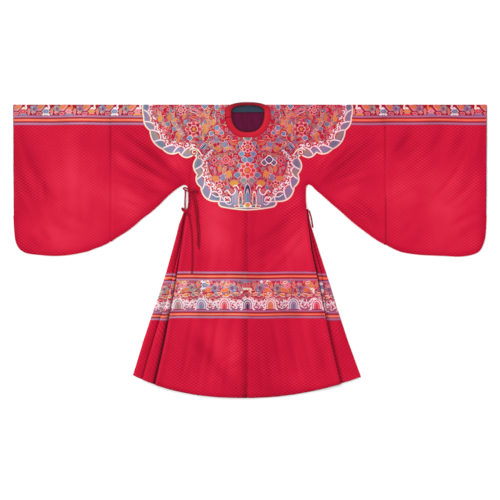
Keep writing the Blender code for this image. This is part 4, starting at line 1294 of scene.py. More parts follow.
    def draw_repeat(self, loom: Loom, spot: Spot, k: int) -> None:
        """One repeat of the bands: a leaf, a clouded body and slanted wings after a flower."""
        for thread, outline in self.WINGS:
            loom.lay(thread, spot, outline)
        body = (T.MAUVE, T.SAGE, T.GREY_LILAC)[k % 3]
        loom.buds(spot, ((body, 49, 18, 17, 5, 0.16, 0.95, 0.5 * k), *self.FLECKS))
        petal, curl, lower = self.FLOWERS[k % len(self.FLOWERS)]
        flame = smooth([(17, -1), (12, 8), (16, 15), (9, 21), (-3, 19)], 5)
        loom.lay(curl, spot, stroke(flame, 8.0, 0.2))
        loom.buds(spot, (
            (curl, 3, 18, 9, 4, 0.1, 0.7),
            *((lower, x, y, 8, 4, 0.14, 0.6) for x, y in ((-11, 45), (12, 45), (0, 44))),
            (T.WHITE if petal is T.BLUE else T.BLUSH, 0, 31, 16, 6, 0.14, 0.72),
            (petal, 0, 31, 13.5, 6, 0.14, 0.7),
            (T.GILT if petal is T.AMBER else T.BLUSH, 0, 31, 5, 5, 0.16, 0.7),
            (T.VIOLET if petal is T.ROSE else petal, 0, 31, 2.4, 4, 0.1),
        ))

    def draw_knee_band(self, loom: Loom) -> None:
        """The band round the skirt: flowers and wings over rocks in the sea, between stripes."""
        loom.stripes((-560.0, 560.0), self.KNEE_ROWS)
        loom.add(T.RED, oblong(-560, 560, 796, 921))
        for k in range(-5, 6):
            self.draw_sea(loom, self.SHRUNK * k * self.REPEAT, k)
        for way in (-1, 1):
            for k in range(5, -1, -1):
                at = way * (82 + (k - 1) * 102.5) if k else way * 4
                spot = Spot(at - 6, 849, 180, 1.15, way > 0)
                plumes = spot.put([(14, -6), (40, -15), (64, -11), (94, -17)])
                loom.strands(plumes, (T.APRICOT, T.BLUSH, T.CORAL, T.MAUVE, T.GILT)[::way], 5.2)
                self.draw_repeat(loom, spot, self.KNEE_FLOWERS[way][k])
                for x, y, turn, length, width, thread in self.SPRAY:
                    loom.petal(spot.beside(x, y, turn), length, width, thread, T.CREAM)
                loom.cloud(spot.beside(46, -6), 17, T.SAGE, T.CREAM)
        self.fill(loom, oblong(-560, 560, 800, 884), room=8.8, count=3000)

    def draw_sea(self, loom: Loom, at: float, k: int) -> None:
        """One repeat of the sea: a rock between breaking waves."""
        thread = self.MOUNDS[k % len(self.MOUNDS)]
        for side in (-1, 1):
            for j, (x, y, radius) in enumerate(self.FOAM):
                spot = Spot(at + side * x, y, 150 + 30 * j + 17 * k, 1, side < 0)
                loom.lay((T.RED, T.MAUVE, T.RED)[(j + k) % 3], spot, lobed(radius + 1.5, 4, 0.1))
                foam = (T.WHITE, T.WHITE, T.PINK, T.WHITE, T.SILVER)[(j + k) % 5]
                loom.lay(foam, spot, hook(radius))
                loom.lay(T.WHITE, spot.beside(-0.5 * radius, 0), lobed(0.42 * radius, 3, 0.1))
            crest = ((52, 904), (43, 886), (31, 888), (23, 874), (7, 864))
            loom.line(T.WHITE, smooth([(at + side * a, b) for a, b in crest], 6), 4.6)
        loom.peak(Spot(at, 920), 50, 50, (T.WHITE, T.BLUSH))
        loom.peak(Spot(at, 920), 41, 43, (thread, T.WHITE, thread, T.BLUSH, thread))
        for side in (-1, 1):
            loom.lay(T.MAUVE, Spot(at + 40 * side, 919), lobed(9, 3, 0.1, 0.5))

    def draw_collar_border(self, loom: Loom) -> None:
        """Waves along the collar's edge, with foam inside and a pale line outside."""
        joins = self.inner()
        outer = np.vstack([self.outer(), self.JOINS[-1]])
        steps = np.linspace(0, 1, 9)[:-1, None]
        inner = np.vstack([*(a + steps * (b - a) for a, b in zip(joins, joins[1:])), joins[-1]])
        run = run_of(outer)

        def at(along: np.ndarray, deep: np.ndarray) -> np.ndarray:
            """Places so far along the edge, and so deep into the border."""
            edge, lining = (paired(*(np.interp(along, run, column) for column in line.T))
                            for line in (outer, inner))
            return edge + np.asarray(deep)[:, None] * (lining - edge)

        loom.add(T.GREY_LILAC, np.vstack([outer, (outer + 0.7 * (inner - outer))[::-1]]))
        for k, (start, length) in enumerate(self.WAVES):
            wave, heart = np.array(self.WAVE), np.array(self.HEART)
            crest = smooth(at(start + length * wave[:, 0], wave[:, 1]), 4.5)
            feet = at(start + length * np.linspace(1.2, -0.05, 6), np.full(6, 0.1))
            first, second = self.WATER[k % 4]
            loom.add(first, np.vstack([crest, feet]))
            loom.add(second, smooth(at(start + length * heart[:, 0], heart[:, 1]), 6, closed=True))
            loom.add(T.BLUSH, stroke(crest, 8.0, 0.3))
            loom.add(T.WHITE, stroke(crest, 5.2, 0.3))
            for j, share in enumerate((0.3, 0.58, 0.86, 1.1)[:(3, 4, 3, 4)[k % 4]]):
                radius = (6.6, 7.6, 6.0)[(j + k) % 3]
                deep = 1.0 + (radius - 1 + 9 * (k % 3 == 1 and j == 1)) / self.BORDER
                (place,) = at(np.array([start + length * share]), np.array([deep]))
                spot = Spot(*place, 200 + 60 * j + 25 * k, 1, length < 0)
                loom.lay(T.RED, spot, lobed(radius + 2, 4, 0.1))
                loom.lay((T.WHITE, T.WHITE, T.BLUSH)[(j + k) % 3], spot, hook(radius))
        loom.add(T.GILT, stroke(outer, 7.6))
        loom.add(T.CREAM, stroke(outer, 4.8))
        loom.line(T.CREAM, smooth([(262, 206), (243, 197), (222, 206), (203, 232)], 5), 5.5, 0.2)
        for x, y, radius, turn in ((240, 216, 15, 100), (213, 238, 10, 220)):
            loom.lay(T.RED, Spot(x, y), lobed(0.9 * radius, 5, 0.05))
            loom.lay(T.CREAM, Spot(x, y, turn), spiral(radius))
        for x, y, radius, turn in self.NOTCH_FOAM:
            loom.lay(T.RED, Spot(x, y), lobed(radius + 1.5, 4, 0.1))
            loom.lay(T.WHITE, Spot(x, y, turn), hook(radius))

    def draw_collar_figures(self, loom: Loom) -> None:
        """The collar's winding bodies, flowers, clouds and rocks on one side."""
        for body in self.BODIES:
            loom.scales(*body)
        for path, threads in self.STRANDS:
            loom.strands(path, threads)
        for x, y, turn, length, width, thread in self.LEAVES:
            rim = (T.GILT, T.BLUSH, T.MAUVE)[(x + y) % 3]
            loom.petal(Spot(x, y, turn), 1.22 * length, 1.5 * width, thread, rim)
        for x, y, width, thread in self.CLOUDS:
            loom.cloud(Spot(x, y, 7 * x % 360), width, thread, (T.SILVER, T.WHITE)[x % 2])
        for x, y, radius, heart in self.PEONIES:
            loom.peony(Spot(x, y), radius, T.RED, T.PINK if radius > 22 else T.ROSE, heart)
        self.draw_knot(loom, T.ROSE, T.CORAL)
        loom.peak(Spot(206, 200, -43), 24, 54, (T.WHITE, T.NAVY, T.BLUE, T.SILVER, T.NAVY))

    def draw_knot(self, loom: Loom, rim: Thread, fill: Thread) -> None:
        """A cloud knot: three lobes drawn in lines."""
        for x, y, radius in ((-17, 6, 11), (17, 6, 11), (0, -5, 15)):
            loom.buds(Spot(97, 254, 0, 1.25), (
                (T.WHITE if fill is T.NAVY else rim, x, y, radius, 4, 0.1),
                (fill, x, y, 0.76 * radius, 4, 0.1),
                (rim, x, y, 0.45 * radius, 4, 0.1),
                (T.CRIMSON, x, y + 1, 0.25 * radius, 3, 0.1),
            ))

    def fill(self, loom: Loom, zone: np.ndarray, room: float, count: int) -> None:
        """Small leaves, buds and curls wherever the ground of a zone is still bare.

        Args:
            loom: what draws them.
            zone: the zone's outline.
            room: how far a new figure stays from the middles of those before it.
            count: how many places are tried.
        """
        taken = np.array([p.outline.mean(axis=0) for p in loom.patches
                          if area_of(p.outline) ** 2 < 1e7])
        tries = loom.dice.uniform(zone.min(axis=0), zone.max(axis=0), (count, 2))
        bare = inside(tries, zone)
        for p in loom.patches:
            if 130 < abs(area_of(p.outline)) < 3200:
                bare &= ~inside(tries, p.outline)
        for k, (x, y) in enumerate(tries[bare]):
            if np.linalg.norm(taken - (x, y), axis=1).min() < room:
                continue
            taken = np.vstack([taken, (x, y)])
            spot = Spot(x, y, loom.dice.uniform(0, 360))
            thread = self.SMALL[k % len(self.SMALL)]
            if k % 3 == 0:
                loom.lay((T.ROSE, T.MAUVE, T.BRICK)[k // 3 % 3], spot, lobed(7.6, 4, 0.2))
                loom.lay(thread, spot, lobed(5.0, 4, 0.2))
            elif k % 3 == 1:
                curl = smooth([(-11, 3), (-3, -4), (5, -2), (10, 5)], 6)
                loom.lay((T.MAUVE, T.CORAL, T.GILT)[k % 5 % 3], spot, stroke(curl, 4.2, 0.3))
            else:
                loom.lay((T.BRICK, T.GILT)[k % 2], spot, leaf(21, 10, 3))
                loom.lay(thread, spot.beside(2, 0), leaf(16, 6, 2.4))

    def keep_inside(self, loom: Loom) -> None:
        """Drop the figures that reach past the collar's outline."""
        ground = loom.patches[0].outline
        loom.patches[1:] = [p for p in loom.patches[1:]
                            if inside(p.outline[p.outline[:, 1] > 0], ground).all()
                            and p.outline[:, 0].max() < self.JOINS[0][0]]

    def draw_collar_middle(self, loom: Loom) -> None:
        """The column of figures on the centre seam, over the rest."""
        loom.cloud(Spot(0, 151), 36, T.SAGE, T.CREAM)
        for side in (-1, 1):
            for x, y, width, thread in self.MIDDLE_CLOUDS:
                loom.cloud(Spot(side * x, y, 0, 1, side < 0), width, thread, T.SILVER)
        loom.peony(Spot(0, 190), 27, T.RED, T.PINK, T.AMBER)
        loom.lay(T.ORANGE, Spot(0, 226), ((-6, 0), (0, -10), (6, 0), (0, 10)))
        loom.peony(Spot(0, 297), 38, T.ORANGE, T.PINK, T.AMBER)
        self.draw_knot(loom, T.GREY_LILAC, T.NAVY)
        for side in (-1, 1):
            loom.lay(T.GREY_LILAC, Spot(mirrored=side < 0), self.ROCK)
            for x, top in ((47, 384), (53, 386), (60, 400), (68, 412)):
                loom.lay(T.SILVER, Spot(side * x, 0), stroke([(0, top), (0, 446)], 2.2))
            for path in self.CRESTS:
                loom.line(T.WHITE, smooth([(side * x, y) for x, y in path], 6), 5.0)
            loom.peak(Spot(side * 31, 448), 20, 60, (T.CREAM, T.CORAL, T.GILT, T.NAVY))
            loom.lay(T.TEAL, Spot(side * 31, 440), oblong(-4, 4, -8, 8))
        loom.peak(Spot(0, 443), 33, 94, (T.SILVER, T.NAVY, T.NAVY, T.SILVER, T.SLATE))
        for thread, x, high, tip in ((T.SILVER, 9, 400, 388), (T.BLUE, 6.5, 403, 394)):
            loom.lay(thread, HERE, ((-x, high), (0, tip), (x, high), (x, 442), (-x, 442)))
        loom.lay(T.CREAM, Spot(0, 458), ((-62, -6), (62, -6), (56, 7), (-56, 7)))
        for x, thread in ((-48, T.RED), (-27, T.TEAL), (27, T.NAVY), (48, T.RED)):
            loom.lay(thread, Spot(x, 458), oblong(-8, 8, -3.5, 3.5))
        for thread, size in ((T.CREAM, 1.3), (T.AMBER, 1.0)):
            stone = ((-12, 0), (-6, -9), (6, -9), (12, 0), (6, 9), (-6, 9))
            loom.lay(thread, Spot(0, 452, 0, size), stone)


@dataclass(frozen=True)
class Finish:
    """A material that every piece with this finish shares."""

    name: str
    hex: str

    def material(self) -> bpy.types.Material:
        """The material, made once."""
        made = bpy.data.materials.get(self.name)
        if made is None:
            made = bpy.data.materials.new(self.name)
            made.use_nodes = True
            self.dress(made.node_tree, made.node_tree.nodes["Principled BSDF"])
        return made

    def dress(self, tree: bpy.types.NodeTree, shader: bpy.types.Node) -> None:
        """Set the shader and its nodes."""
        raise NotImplementedError


@dataclass(frozen=True)
class FiguredDamask(Finish):
    """Silk damask with brocaded figures.

    Satin and its reverse take turns in a small lozenge, which shows as a change in gloss more
    than in colour. The figures are floated wefts.
    """

    name: str = "figured_silk_damask"
    hex: str = "cc2440"
    # from the deepest shade to the full gleam of the satin
    tones: tuple = ("6a0020", "960022", "b2022b", "c81136", "da2f49", "e04054")
    lozenge_wide: float = 21.0
    lozenge_high: float = 14.5
    twill: float = 1.6  # the real ribs are 0.3 mm apart; drawn coarser so that they show close to
    roughness: float = 0.52

    def dress(self, tree: bpy.types.NodeTree, shader: bpy.types.Node) -> None:
        """Set the shader and its nodes."""
        uv = node(tree, "UVMap", {}, uv_map="cloth")
        place = node(tree, "SeparateXYZ", {0: uv})
        waves = []
        for k, size in ((0, self.lozenge_wide), (1, self.lozenge_high)):
            turn = {0: place.outputs[k], 1: 2 * math.pi / (size * MM)}
            turns = node(tree, "Math", turn, operation="MULTIPLY")
            waves.append(node(tree, "Math", {0: turns}, operation="COSINE"))
        lozenge = node(tree, "Math", {0: waves[0], 1: waves[1]}, operation="MULTIPLY")
        # the depth attribute holds painted gleam (below 0) and painted shade (above 0); the lozenge shows
        # more where the painted shade is deeper
        depth = node(tree, "Attribute", {}, attribute_name="depth").outputs["Fac"]
        patchy = node(tree, "TexNoise", {"Vector": uv, "Scale": 7.0, "Detail": 3.0})
        uneven = node(tree, "MapRange", {0: patchy, 1: 0.36, 2: 0.64, 3: 0.25, 4: 1.0})
        seen = node(tree, "MapRange", {0: depth, 1: -0.36, 2: 0.4, 3: 0.04, 4: 0.27})
        contrast = node(tree, "Math", {0: uneven, 1: seen}, operation="MULTIPLY")
        weave = node(tree, "Math", {0: lozenge, 1: contrast}, operation="MULTIPLY")
        light = node(tree, "MapRange", {0: depth, 1: -1.0, 2: 1.0, 3: 0.98, 4: 0.08})
        cloudy = node(tree, "MapRange", {0: patchy, 1: 0.3, 2: 0.7, 3: -0.04, 4: 0.04})
        toned = node(tree, "Math", {0: light, 1: cloudy}, operation="ADD")
        value = node(tree, "Math", {0: toned, 1: weave}, operation="ADD")
        ground = ramp(tree, value, self.tones)
        weft = node(tree, "Attribute", {}, attribute_name="weft")
        rib = {"Vector": uv, "Scale": math.pi / (10 * self.twill * MM), "Distortion": 1.5, "Detail": 1.0}
        ribs = node(tree, "TexWave", rib, bands_direction="DIAGONAL").outputs[1]
        # painted gleam and shade on the figures, and painted glints that come and go in patches
        lit = node(tree, "MapRange", {0: depth, 1: -0.8, 2: 0.7, 3: 1.08, 4: 0.7})
        float_tone = node(tree, "MapRange", {0: ribs, 1: 0.0, 2: 1.0, 3: 0.9, 4: 1.04})
        glint_patches = node(tree, "MapRange", {0: patchy, 1: 0.34, 2: 0.66, 3: 0.86, 4: 1.14})
        glint = node(tree, "Math", {0: float_tone, 1: glint_patches}, operation="MULTIPLY")
        shine = node(tree, "Math", {0: lit, 1: glint}, operation="MULTIPLY")
        figure = node(tree, "VectorMath", {0: weft.outputs["Color"], 3: shine}, operation="SCALE")
        cloth = node(tree, "Mix", {0: weft.outputs["Alpha"], 6: ground, 7: figure}, data_type="RGBA")
        # painted shade that darkens the deepest folds further
        dim = node(tree, "MapRange", {0: depth, 1: 0.5, 2: 1.0, 3: 1.0, 4: 0.4})
        shaded = node(tree, "VectorMath", {0: cloth.outputs[2], 3: dim}, operation="SCALE")
        gloss = node(tree, "MapRange", {0: lozenge, 1: -1.0, 2: 1.0,
                                        3: self.roughness + 0.1, 4: self.roughness - 0.06})
        woven = node(tree, "Bump", {"Strength": 0.2, "Distance": 0.0003, "Height": lozenge})
        ribbed = node(tree, "Bump", {"Strength": 0.15, "Distance": 0.0002, "Height": ribs, "Normal": woven})
        feed(shader, {"Base Color": shaded, "Roughness": gloss, "Normal": ribbed, "Sheen Weight": 0.02,
                      "Sheen Roughness": 0.4, "Specular IOR Level": 0.08})


@dataclass(frozen=True)
class PlainSilk(Finish):
    """Plain silk with a fine rib, for the collar band, the ties and what lies inside the neck."""

    roughness: float = 0.5
    rib: float = 1.2  # the real ribs are 0.3 mm apart; drawn coarser so that they show close to
    sheen: float = 0.04
    deep: float = 0.72  # of the colour, between the ribs

    def dress(self, tree: bpy.types.NodeTree, shader: bpy.types.Node) -> None:
        """Set the shader and its nodes."""
        uv = node(tree, "UVMap", {}, uv_map="cloth")
        rib = {"Vector": uv, "Scale": math.pi / (10 * self.rib * MM), "Distortion": 2.0, "Detail": 1.0}
        ribs = node(tree, "TexWave", rib, bands_direction="Y").outputs[1]
        slubs = node(tree, "TexNoise", {"Vector": uv, "Scale": 60.0, "Detail": 4.0})
        tone = node(tree, "Math", {0: ribs, 1: slubs}, operation="MULTIPLY")
        full, deep = ((*(share * c for c in linear(self.hex)), 1.0) for share in (1.0, self.deep))
        colour = node(tree, "Mix", {0: tone, 6: full, 7: deep}, data_type="RGBA")
        # painted shade from the depth attribute darkens the colour
        depth = node(tree, "Attribute", {}, attribute_name="depth").outputs["Fac"]
        dim = node(tree, "MapRange", {0: depth, 1: 0.0, 2: 1.0, 3: 1.0, 4: 0.15})
        shaded = node(tree, "VectorMath", {0: colour.outputs[2], 3: dim}, operation="SCALE")
        bump = node(tree, "Bump", {"Strength": 0.3, "Distance": 0.0002, "Height": ribs})
        feed(shader, {"Base Color": shaded, "Roughness": self.roughness, "Normal": bump,
                      "Sheen Weight": self.sheen, "Sheen Roughness": 0.4, "Specular IOR Level": 0.12})


DAMASK = FiguredDamask()
COLLAR_SATIN = PlainSilk("scarlet_silk_satin", "c8142f", 0.42)
LINING_SILK = PlainSilk("burgundy_lining_silk", "5c0031", 0.6, sheen=0.0)
FACING_SILK = PlainSilk("teal_facing_silk", "2b3d4c", 0.5)
TIE_SILK = PlainSilk("maroon_bias_silk", "a50024", 0.65, sheen=0.0)


@dataclass(frozen=True)
class PaleFloor(Finish):
    """A matt white table top."""

    name: str = "matt_white_board"
    hex: str = "fbfbfb"

    def dress(self, tree: bpy.types.NodeTree, shader: bpy.types.Node) -> None:
        """Set the shader and its nodes."""
        feed(shader, {"Base Color": (*linear(self.hex), 1.0), "Roughness": 0.9, "Specular IOR Level": 0.1})


class Front(Enum):
    """How a front lies: straight on its back, over the left front, or beside the centre seam."""

    LEVEL = "level"
    CLOSING = "closing"
    RIGHT = "right"


def front_height(side: Side, way: Front, points: np.ndarray) -> np.ndarray:
    """The outer face of a front without its creases, in millimetres above the floor."""
    out, drop = points.T
    if way is Front.LEVEL:
        return np.full(len(points), INNER_TOP)
    if way is Front.CLOSING:
        base = np.full(len(points), OUTER_TOP)
    else:
        rise = (1 - ease(out / CENTRE_EASE)) * ease(drop / NECK_EASE)
        base = INNER_TOP + (OUTER_TOP - INNER_TOP) * rise
    return base + (OVER_PLEATS - base) * side.over_pleats(points)


def seam_dip(away: np.ndarray) -> np.ndarray:
    """From 1 on a seam to 0 away from it."""
    return bell(away / SEAM_DIP_WIDTH)


def dressed_front(side: Side, way: Front, points: np.ndarray) -> tuple:
    """The height and shade of a front with its creases, its seams and its rolled side edge."""
    out, drop = points.T
    relief, shade, calm = side.relief(points)
    base = front_height(side, way, points)
    if way is Front.LEVEL and side is LEFT:
        bare = ease((out - lapel_out(drop) - LAPEL_CLEAR) / LAPEL_EASE)
        bare = np.where((drop > PLEAT_TOP) & (out < COVERED_OUT), 0, bare)
        relief, shade = relief * bare, shade * bare
        under = bell((out - lapel_out(drop) + LAPEL_UNDER) / LAPEL_BLUR)
        shade = shade + LAPEL_SHADE * under * (drop < PLEAT_TOP)
    if way is not Front.LEVEL:
        relief = relief * (1 - CENTRE_CALM * seam_dip(out))
        relief = relief + side.edge_roll(points) * (drop > PLEAT_TOP)
        narrow = 1.0 if way is Front.CLOSING else CENTRE_NARROW
        shade = shade + CENTRE_SHADE * seam_dip(out * narrow)
    dip = seam_dip(out - side.seam_out)
    start, over, share = SEAM_FADE
    shade = shade + SEAM_SHADE * dip * (1 - share * ease((drop - start) / over))
    sunk = SEAM_DIP * dip * calm * (way is not Front.CLOSING)
    return base + relief * (1 - SEAM_CALM * dip) - sunk, np.clip(shade, -1, 1)


def inset(edge: np.ndarray, radii: np.ndarray, turn: int, at_seam: int) -> tuple:
    """A folded edge moved in on to the cloth, and the outward direction at each point."""
    outward = turn * across(edge)
    outward[at_seam] = (0, turn)
    return edge - outward * np.asarray(radii)[:, None], outward


def split_at(curve: np.ndarray, out: float) -> tuple:
    """Cut the lower fold in two at the sleeve's seam, level for a few millimetres each way."""
    first = next(i for i, p in enumerate(curve) if p[0] >= out and p[1] > ARMPIT_DROP)
    t = (out - curve[first - 1][0]) / (curve[first][0] - curve[first - 1][0])
    drop = (curve[first - 1] + t * (curve[first] - curve[first - 1]))[1]
    inner = [p for p in curve[:first] if p[0] < out - SEAM_LEVEL or p[1] < ARMPIT_DROP]
    outer = [p for p in curve[first:] if p[0] > out + SEAM_LEVEL]
    before = np.array([*inner, (out - SEAM_LEVEL / 2, drop), (out, drop)])
    return before, np.array([(out, drop), (out + SEAM_LEVEL / 2, drop), *outer])


def hem_line(side: Side, from_out: float, step: float) -> list:
    """The hem from the side edge to the centre seam."""
    return [(o, float(side.hem_drop(o))) for o in spaced(from_out, GAP / 2, step)]


def front_side(side: Side, step: float) -> list:
    """The free side edge of a front, beside the pleats, and its corner at the hem."""
    rows = [(float(side.front_edge(d)), d) for d in side.side_drops(step)]
    corner = float(side.hem_drop(rows[-1][0]))
    for _ in range(SETTLING):
        corner = float(side.hem_drop(side.front_edge(corner)))
    return [*rows, (float(side.front_edge(corner)), corner - HEM_CLEAR)]


def under_side(side: Side) -> list:
    """The side edge of a layer that lies under the front."""
    return [(float(side.back_edge(d)), d) for d in side.side_drops(UNDER_STEP)]


class Panels:
    """The robe's flat panels: two body halves, the closing front and the sleeves."""

    def __init__(self, figures: Figures) -> None:
        """Take the woven figures."""
        self.figures = figures
        self.areas: dict[str, float] = {}

    def patches(self, side: Side, extra: Sequence[Patch] = (), least: float = -9.0,
                covered: bool = False) -> list:
        """The figures that reach one side, as out and drop.

        Args:
            side: the side of the robe.
            extra: more figures, over the rest.
            least: the drop above which figures are cut off.
            covered: leave out what the closing front hides.
        Returns:
            The figures in order.
        """
        made = []
        for patch in self.figures.patches:
            spots = patch.outline * (side.sign, 1)
            out, drop = spots.T
            if out.max() <= -SEAM_REACH:
                continue
            hidden = np.where(drop < PLEAT_TOP, lapel_out(drop) - COVERED_IN, COVERED_OUT)
            if covered and drop.min() > COVERED_DROP and (out < hidden).all():
                continue
            spots = cut_above(spots, least)
            if len(spots) > 2:
                made.append(Patch(patch.thread, spots))
        return [*made, *extra]

    def painted_edge_shade(self, line: Sequence) -> Patch:
        """A strip of dark maroon thread along a hem, a cuff or a free side edge: painted shade along the
        edge.
        """
        return Patch(T.MAROON, stroke(even(np.array(line, float), EDGE_SHADE_STEP), EDGE_SHADE_WIDTH))

    def layered(self, name: str, side: Side, shoulder: np.ndarray, lower: np.ndarray,
                at_seam: int, rests: tuple, way: Front, edges: tuple) -> bpy.types.Object:
        """A front and a back in one piece, folded at the shoulder and under the arm.

        Args:
            name: the piece's name.
            side: the side of the robe.
            shoulder: the fold along the top, outwards.
            lower: the fold under the arm, outwards.
            at_seam: which point of both folds is at the sleeve's seam.
            rests: for the front and the back, what follows each fold on the outline.
            way: how the front lies.
            edges: the strips of painted edge shade of the front and of the back.
        Returns:
            The piece.
        """
        cloth = Cloth(name, side)
        top_in, top_out = inset(shoulder, front_height(side, way, shoulder) / 2, -1, at_seam)
        low_in, low_out = inset(lower, front_height(side, way, lower) / 2, 1, at_seam)
        low_in, low_out = low_in[::-1], low_out[::-1]
        least = float(top_in[:, 1].max()) + CUT_CLEAR
        self.areas[name] = 0.0
        nets, rows = [], []
        for k, (rest, step) in enumerate(zip(rests, (NET_STEP, BACK_STEP))):
            after_top, after_low = (np.array(part).reshape(-1, 2) for part in rest)
            outline = np.vstack([top_in, after_top, low_in, after_low])
            shown = self.patches(side, edges[k], least, k == 0 and side is LEFT)
            net = weave_net(outline, step, shown, () if k else side.seam_rows())
            self.areas[name] += abs(area_of(outline)) * MM**2
            nets.append(net)
            height, shade = (dressed_front(side, way, net.points) if k == 0 else
                             (np.zeros(len(net.points)), BACK_TONE * side.tone(net.points)))
            start = cloth.add_layer(net, height, shade)
            rim = [start + i for i in net.rim]
            low_at = len(top_in) + len(after_top)
            rows.append((rim[:len(top_in)], rim[low_at:low_at + len(low_in)]))
        (front_top, front_low), (back_top, back_low) = rows
        middles = 0.5 * (top_in[1:] + top_in[:-1]) + (0, NET_STEP / 3)
        faces = nets[0].points[nets[0].faces].mean(axis=1)
        threads = nets[0].threads[nearest(faces, middles)[0]].tolist()
        cloth.round_over(front_top, back_top, top_out, threads)
        cloth.round_over(front_low, back_low, low_out, [])
        return cloth.build(DAMASK, WALL)

    def body_half(self, name: str, side: Side, way: Front, front_rows: list) -> bpy.types.Object:
        """One half of the body with the upper sleeve: front and back cut in one."""
        seam = side.seam_out - GAP / 2
        lower, _ = split_at(side.underarm(EDGE_STEP), seam)
        top = INNER_TOP / 2
        neck = neck_cut(side, top)
        shoulder = straight((neck[-1][0], 0), (seam, 0), EDGE_STEP)
        seam_line = straight((seam, top), (seam, lower[-1][1] - top), EDGE_STEP)[1:-1]
        back_rows = under_side(side)
        back_hem = [(o, d - BACK_HEM_UP) for o, d in hem_line(side, back_rows[-1][0], BACK_HEM_STEP)]
        back_middle = straight(back_hem[-1], (GAP / 2, BACK_NECK_DROP), BACK_STEP)[1:]
        front_hem = hem_line(side, front_rows[-1][0], EDGE_STEP)
        front_middle = straight(front_hem[-1], neck[0], EDGE_STEP)[1:-1]
        if front_rows[-1][1] > front_hem[0][1] - 1:
            front_hem = front_hem[1:]
        rests = ((seam_line, [*front_rows, *front_hem, *front_middle, *neck[:-1]]),
                 (seam_line, [*back_rows, *back_hem, *back_middle]))
        edges = ([self.painted_edge_shade(front_hem), self.painted_edge_shade(front_rows)], [self.painted_edge_shade(back_hem)])
        return self.layered(name, side, shoulder, lower, -1, rests, way, edges)

    def left_half(self) -> bpy.types.Object:
        """The wearer's right half: its own front lies flat under the closing front."""
        return self.body_half("silk_body_left", LEFT, Front.LEVEL, under_side(LEFT))

    def right_half(self) -> bpy.types.Object:
        """The wearer's left half, whose front shows from the centre seam to the pleats."""
        return self.body_half("silk_body_right", RIGHT, Front.RIGHT, front_side(RIGHT, EDGE_STEP))

    def closing_front(self) -> bpy.types.Object:
        """The front panel that closes over the wearer's right side, from the centre seam."""
        neck = neck_cut(LEFT, LAPEL_START)
        lapel = smooth([tuple(neck[-1]), *LAPEL], EDGE_STEP)[1:]
        rows = front_side(LEFT, EDGE_STEP)
        hem = hem_line(LEFT, rows[-1][0], EDGE_STEP)[1:]
        middle = straight(hem[-1], neck[0], EDGE_STEP)[1:-1]
        outline = np.array([*neck, *lapel, *rows, *hem, *middle])
        shown = self.patches(LEFT, [self.painted_edge_shade(hem), self.painted_edge_shade(rows)])
        net = weave_net(outline, NET_STEP, shown, LEFT.seam_rows())
        cloth = Cloth("silk_closing_front", LEFT)
        self.areas[cloth.name] = abs(area_of(outline)) * MM**2
        cloth.add_layer(net, *dressed_front(LEFT, Front.CLOSING, net.points))
        return cloth.build(DAMASK, WALL)

    def sleeve(self, side: Side) -> bpy.types.Object:
        """The lower part of a sleeve, from the seam that lengthens it to the open cuff."""
        seam, top = side.seam_out + GAP / 2, INNER_TOP / 2
        _, lower = split_at(side.underarm(EDGE_STEP), seam)
        shoulder = straight((seam, 0), (side.cuff_out, 0), EDGE_STEP)
        cuff = straight((side.cuff_out, top), (side.cuff_out - top, lower[-1][1]), EDGE_STEP)[1:-1]
        seam_line = straight((seam, lower[0][1] - top), (seam, top), EDGE_STEP)[1:-1]
        return self.layered(f"silk_sleeve_{side.name}", side, shoulder, lower, 0,
                            ((cuff, seam_line),) * 2, Front.LEVEL, ([self.painted_edge_shade(cuff)],) * 2)


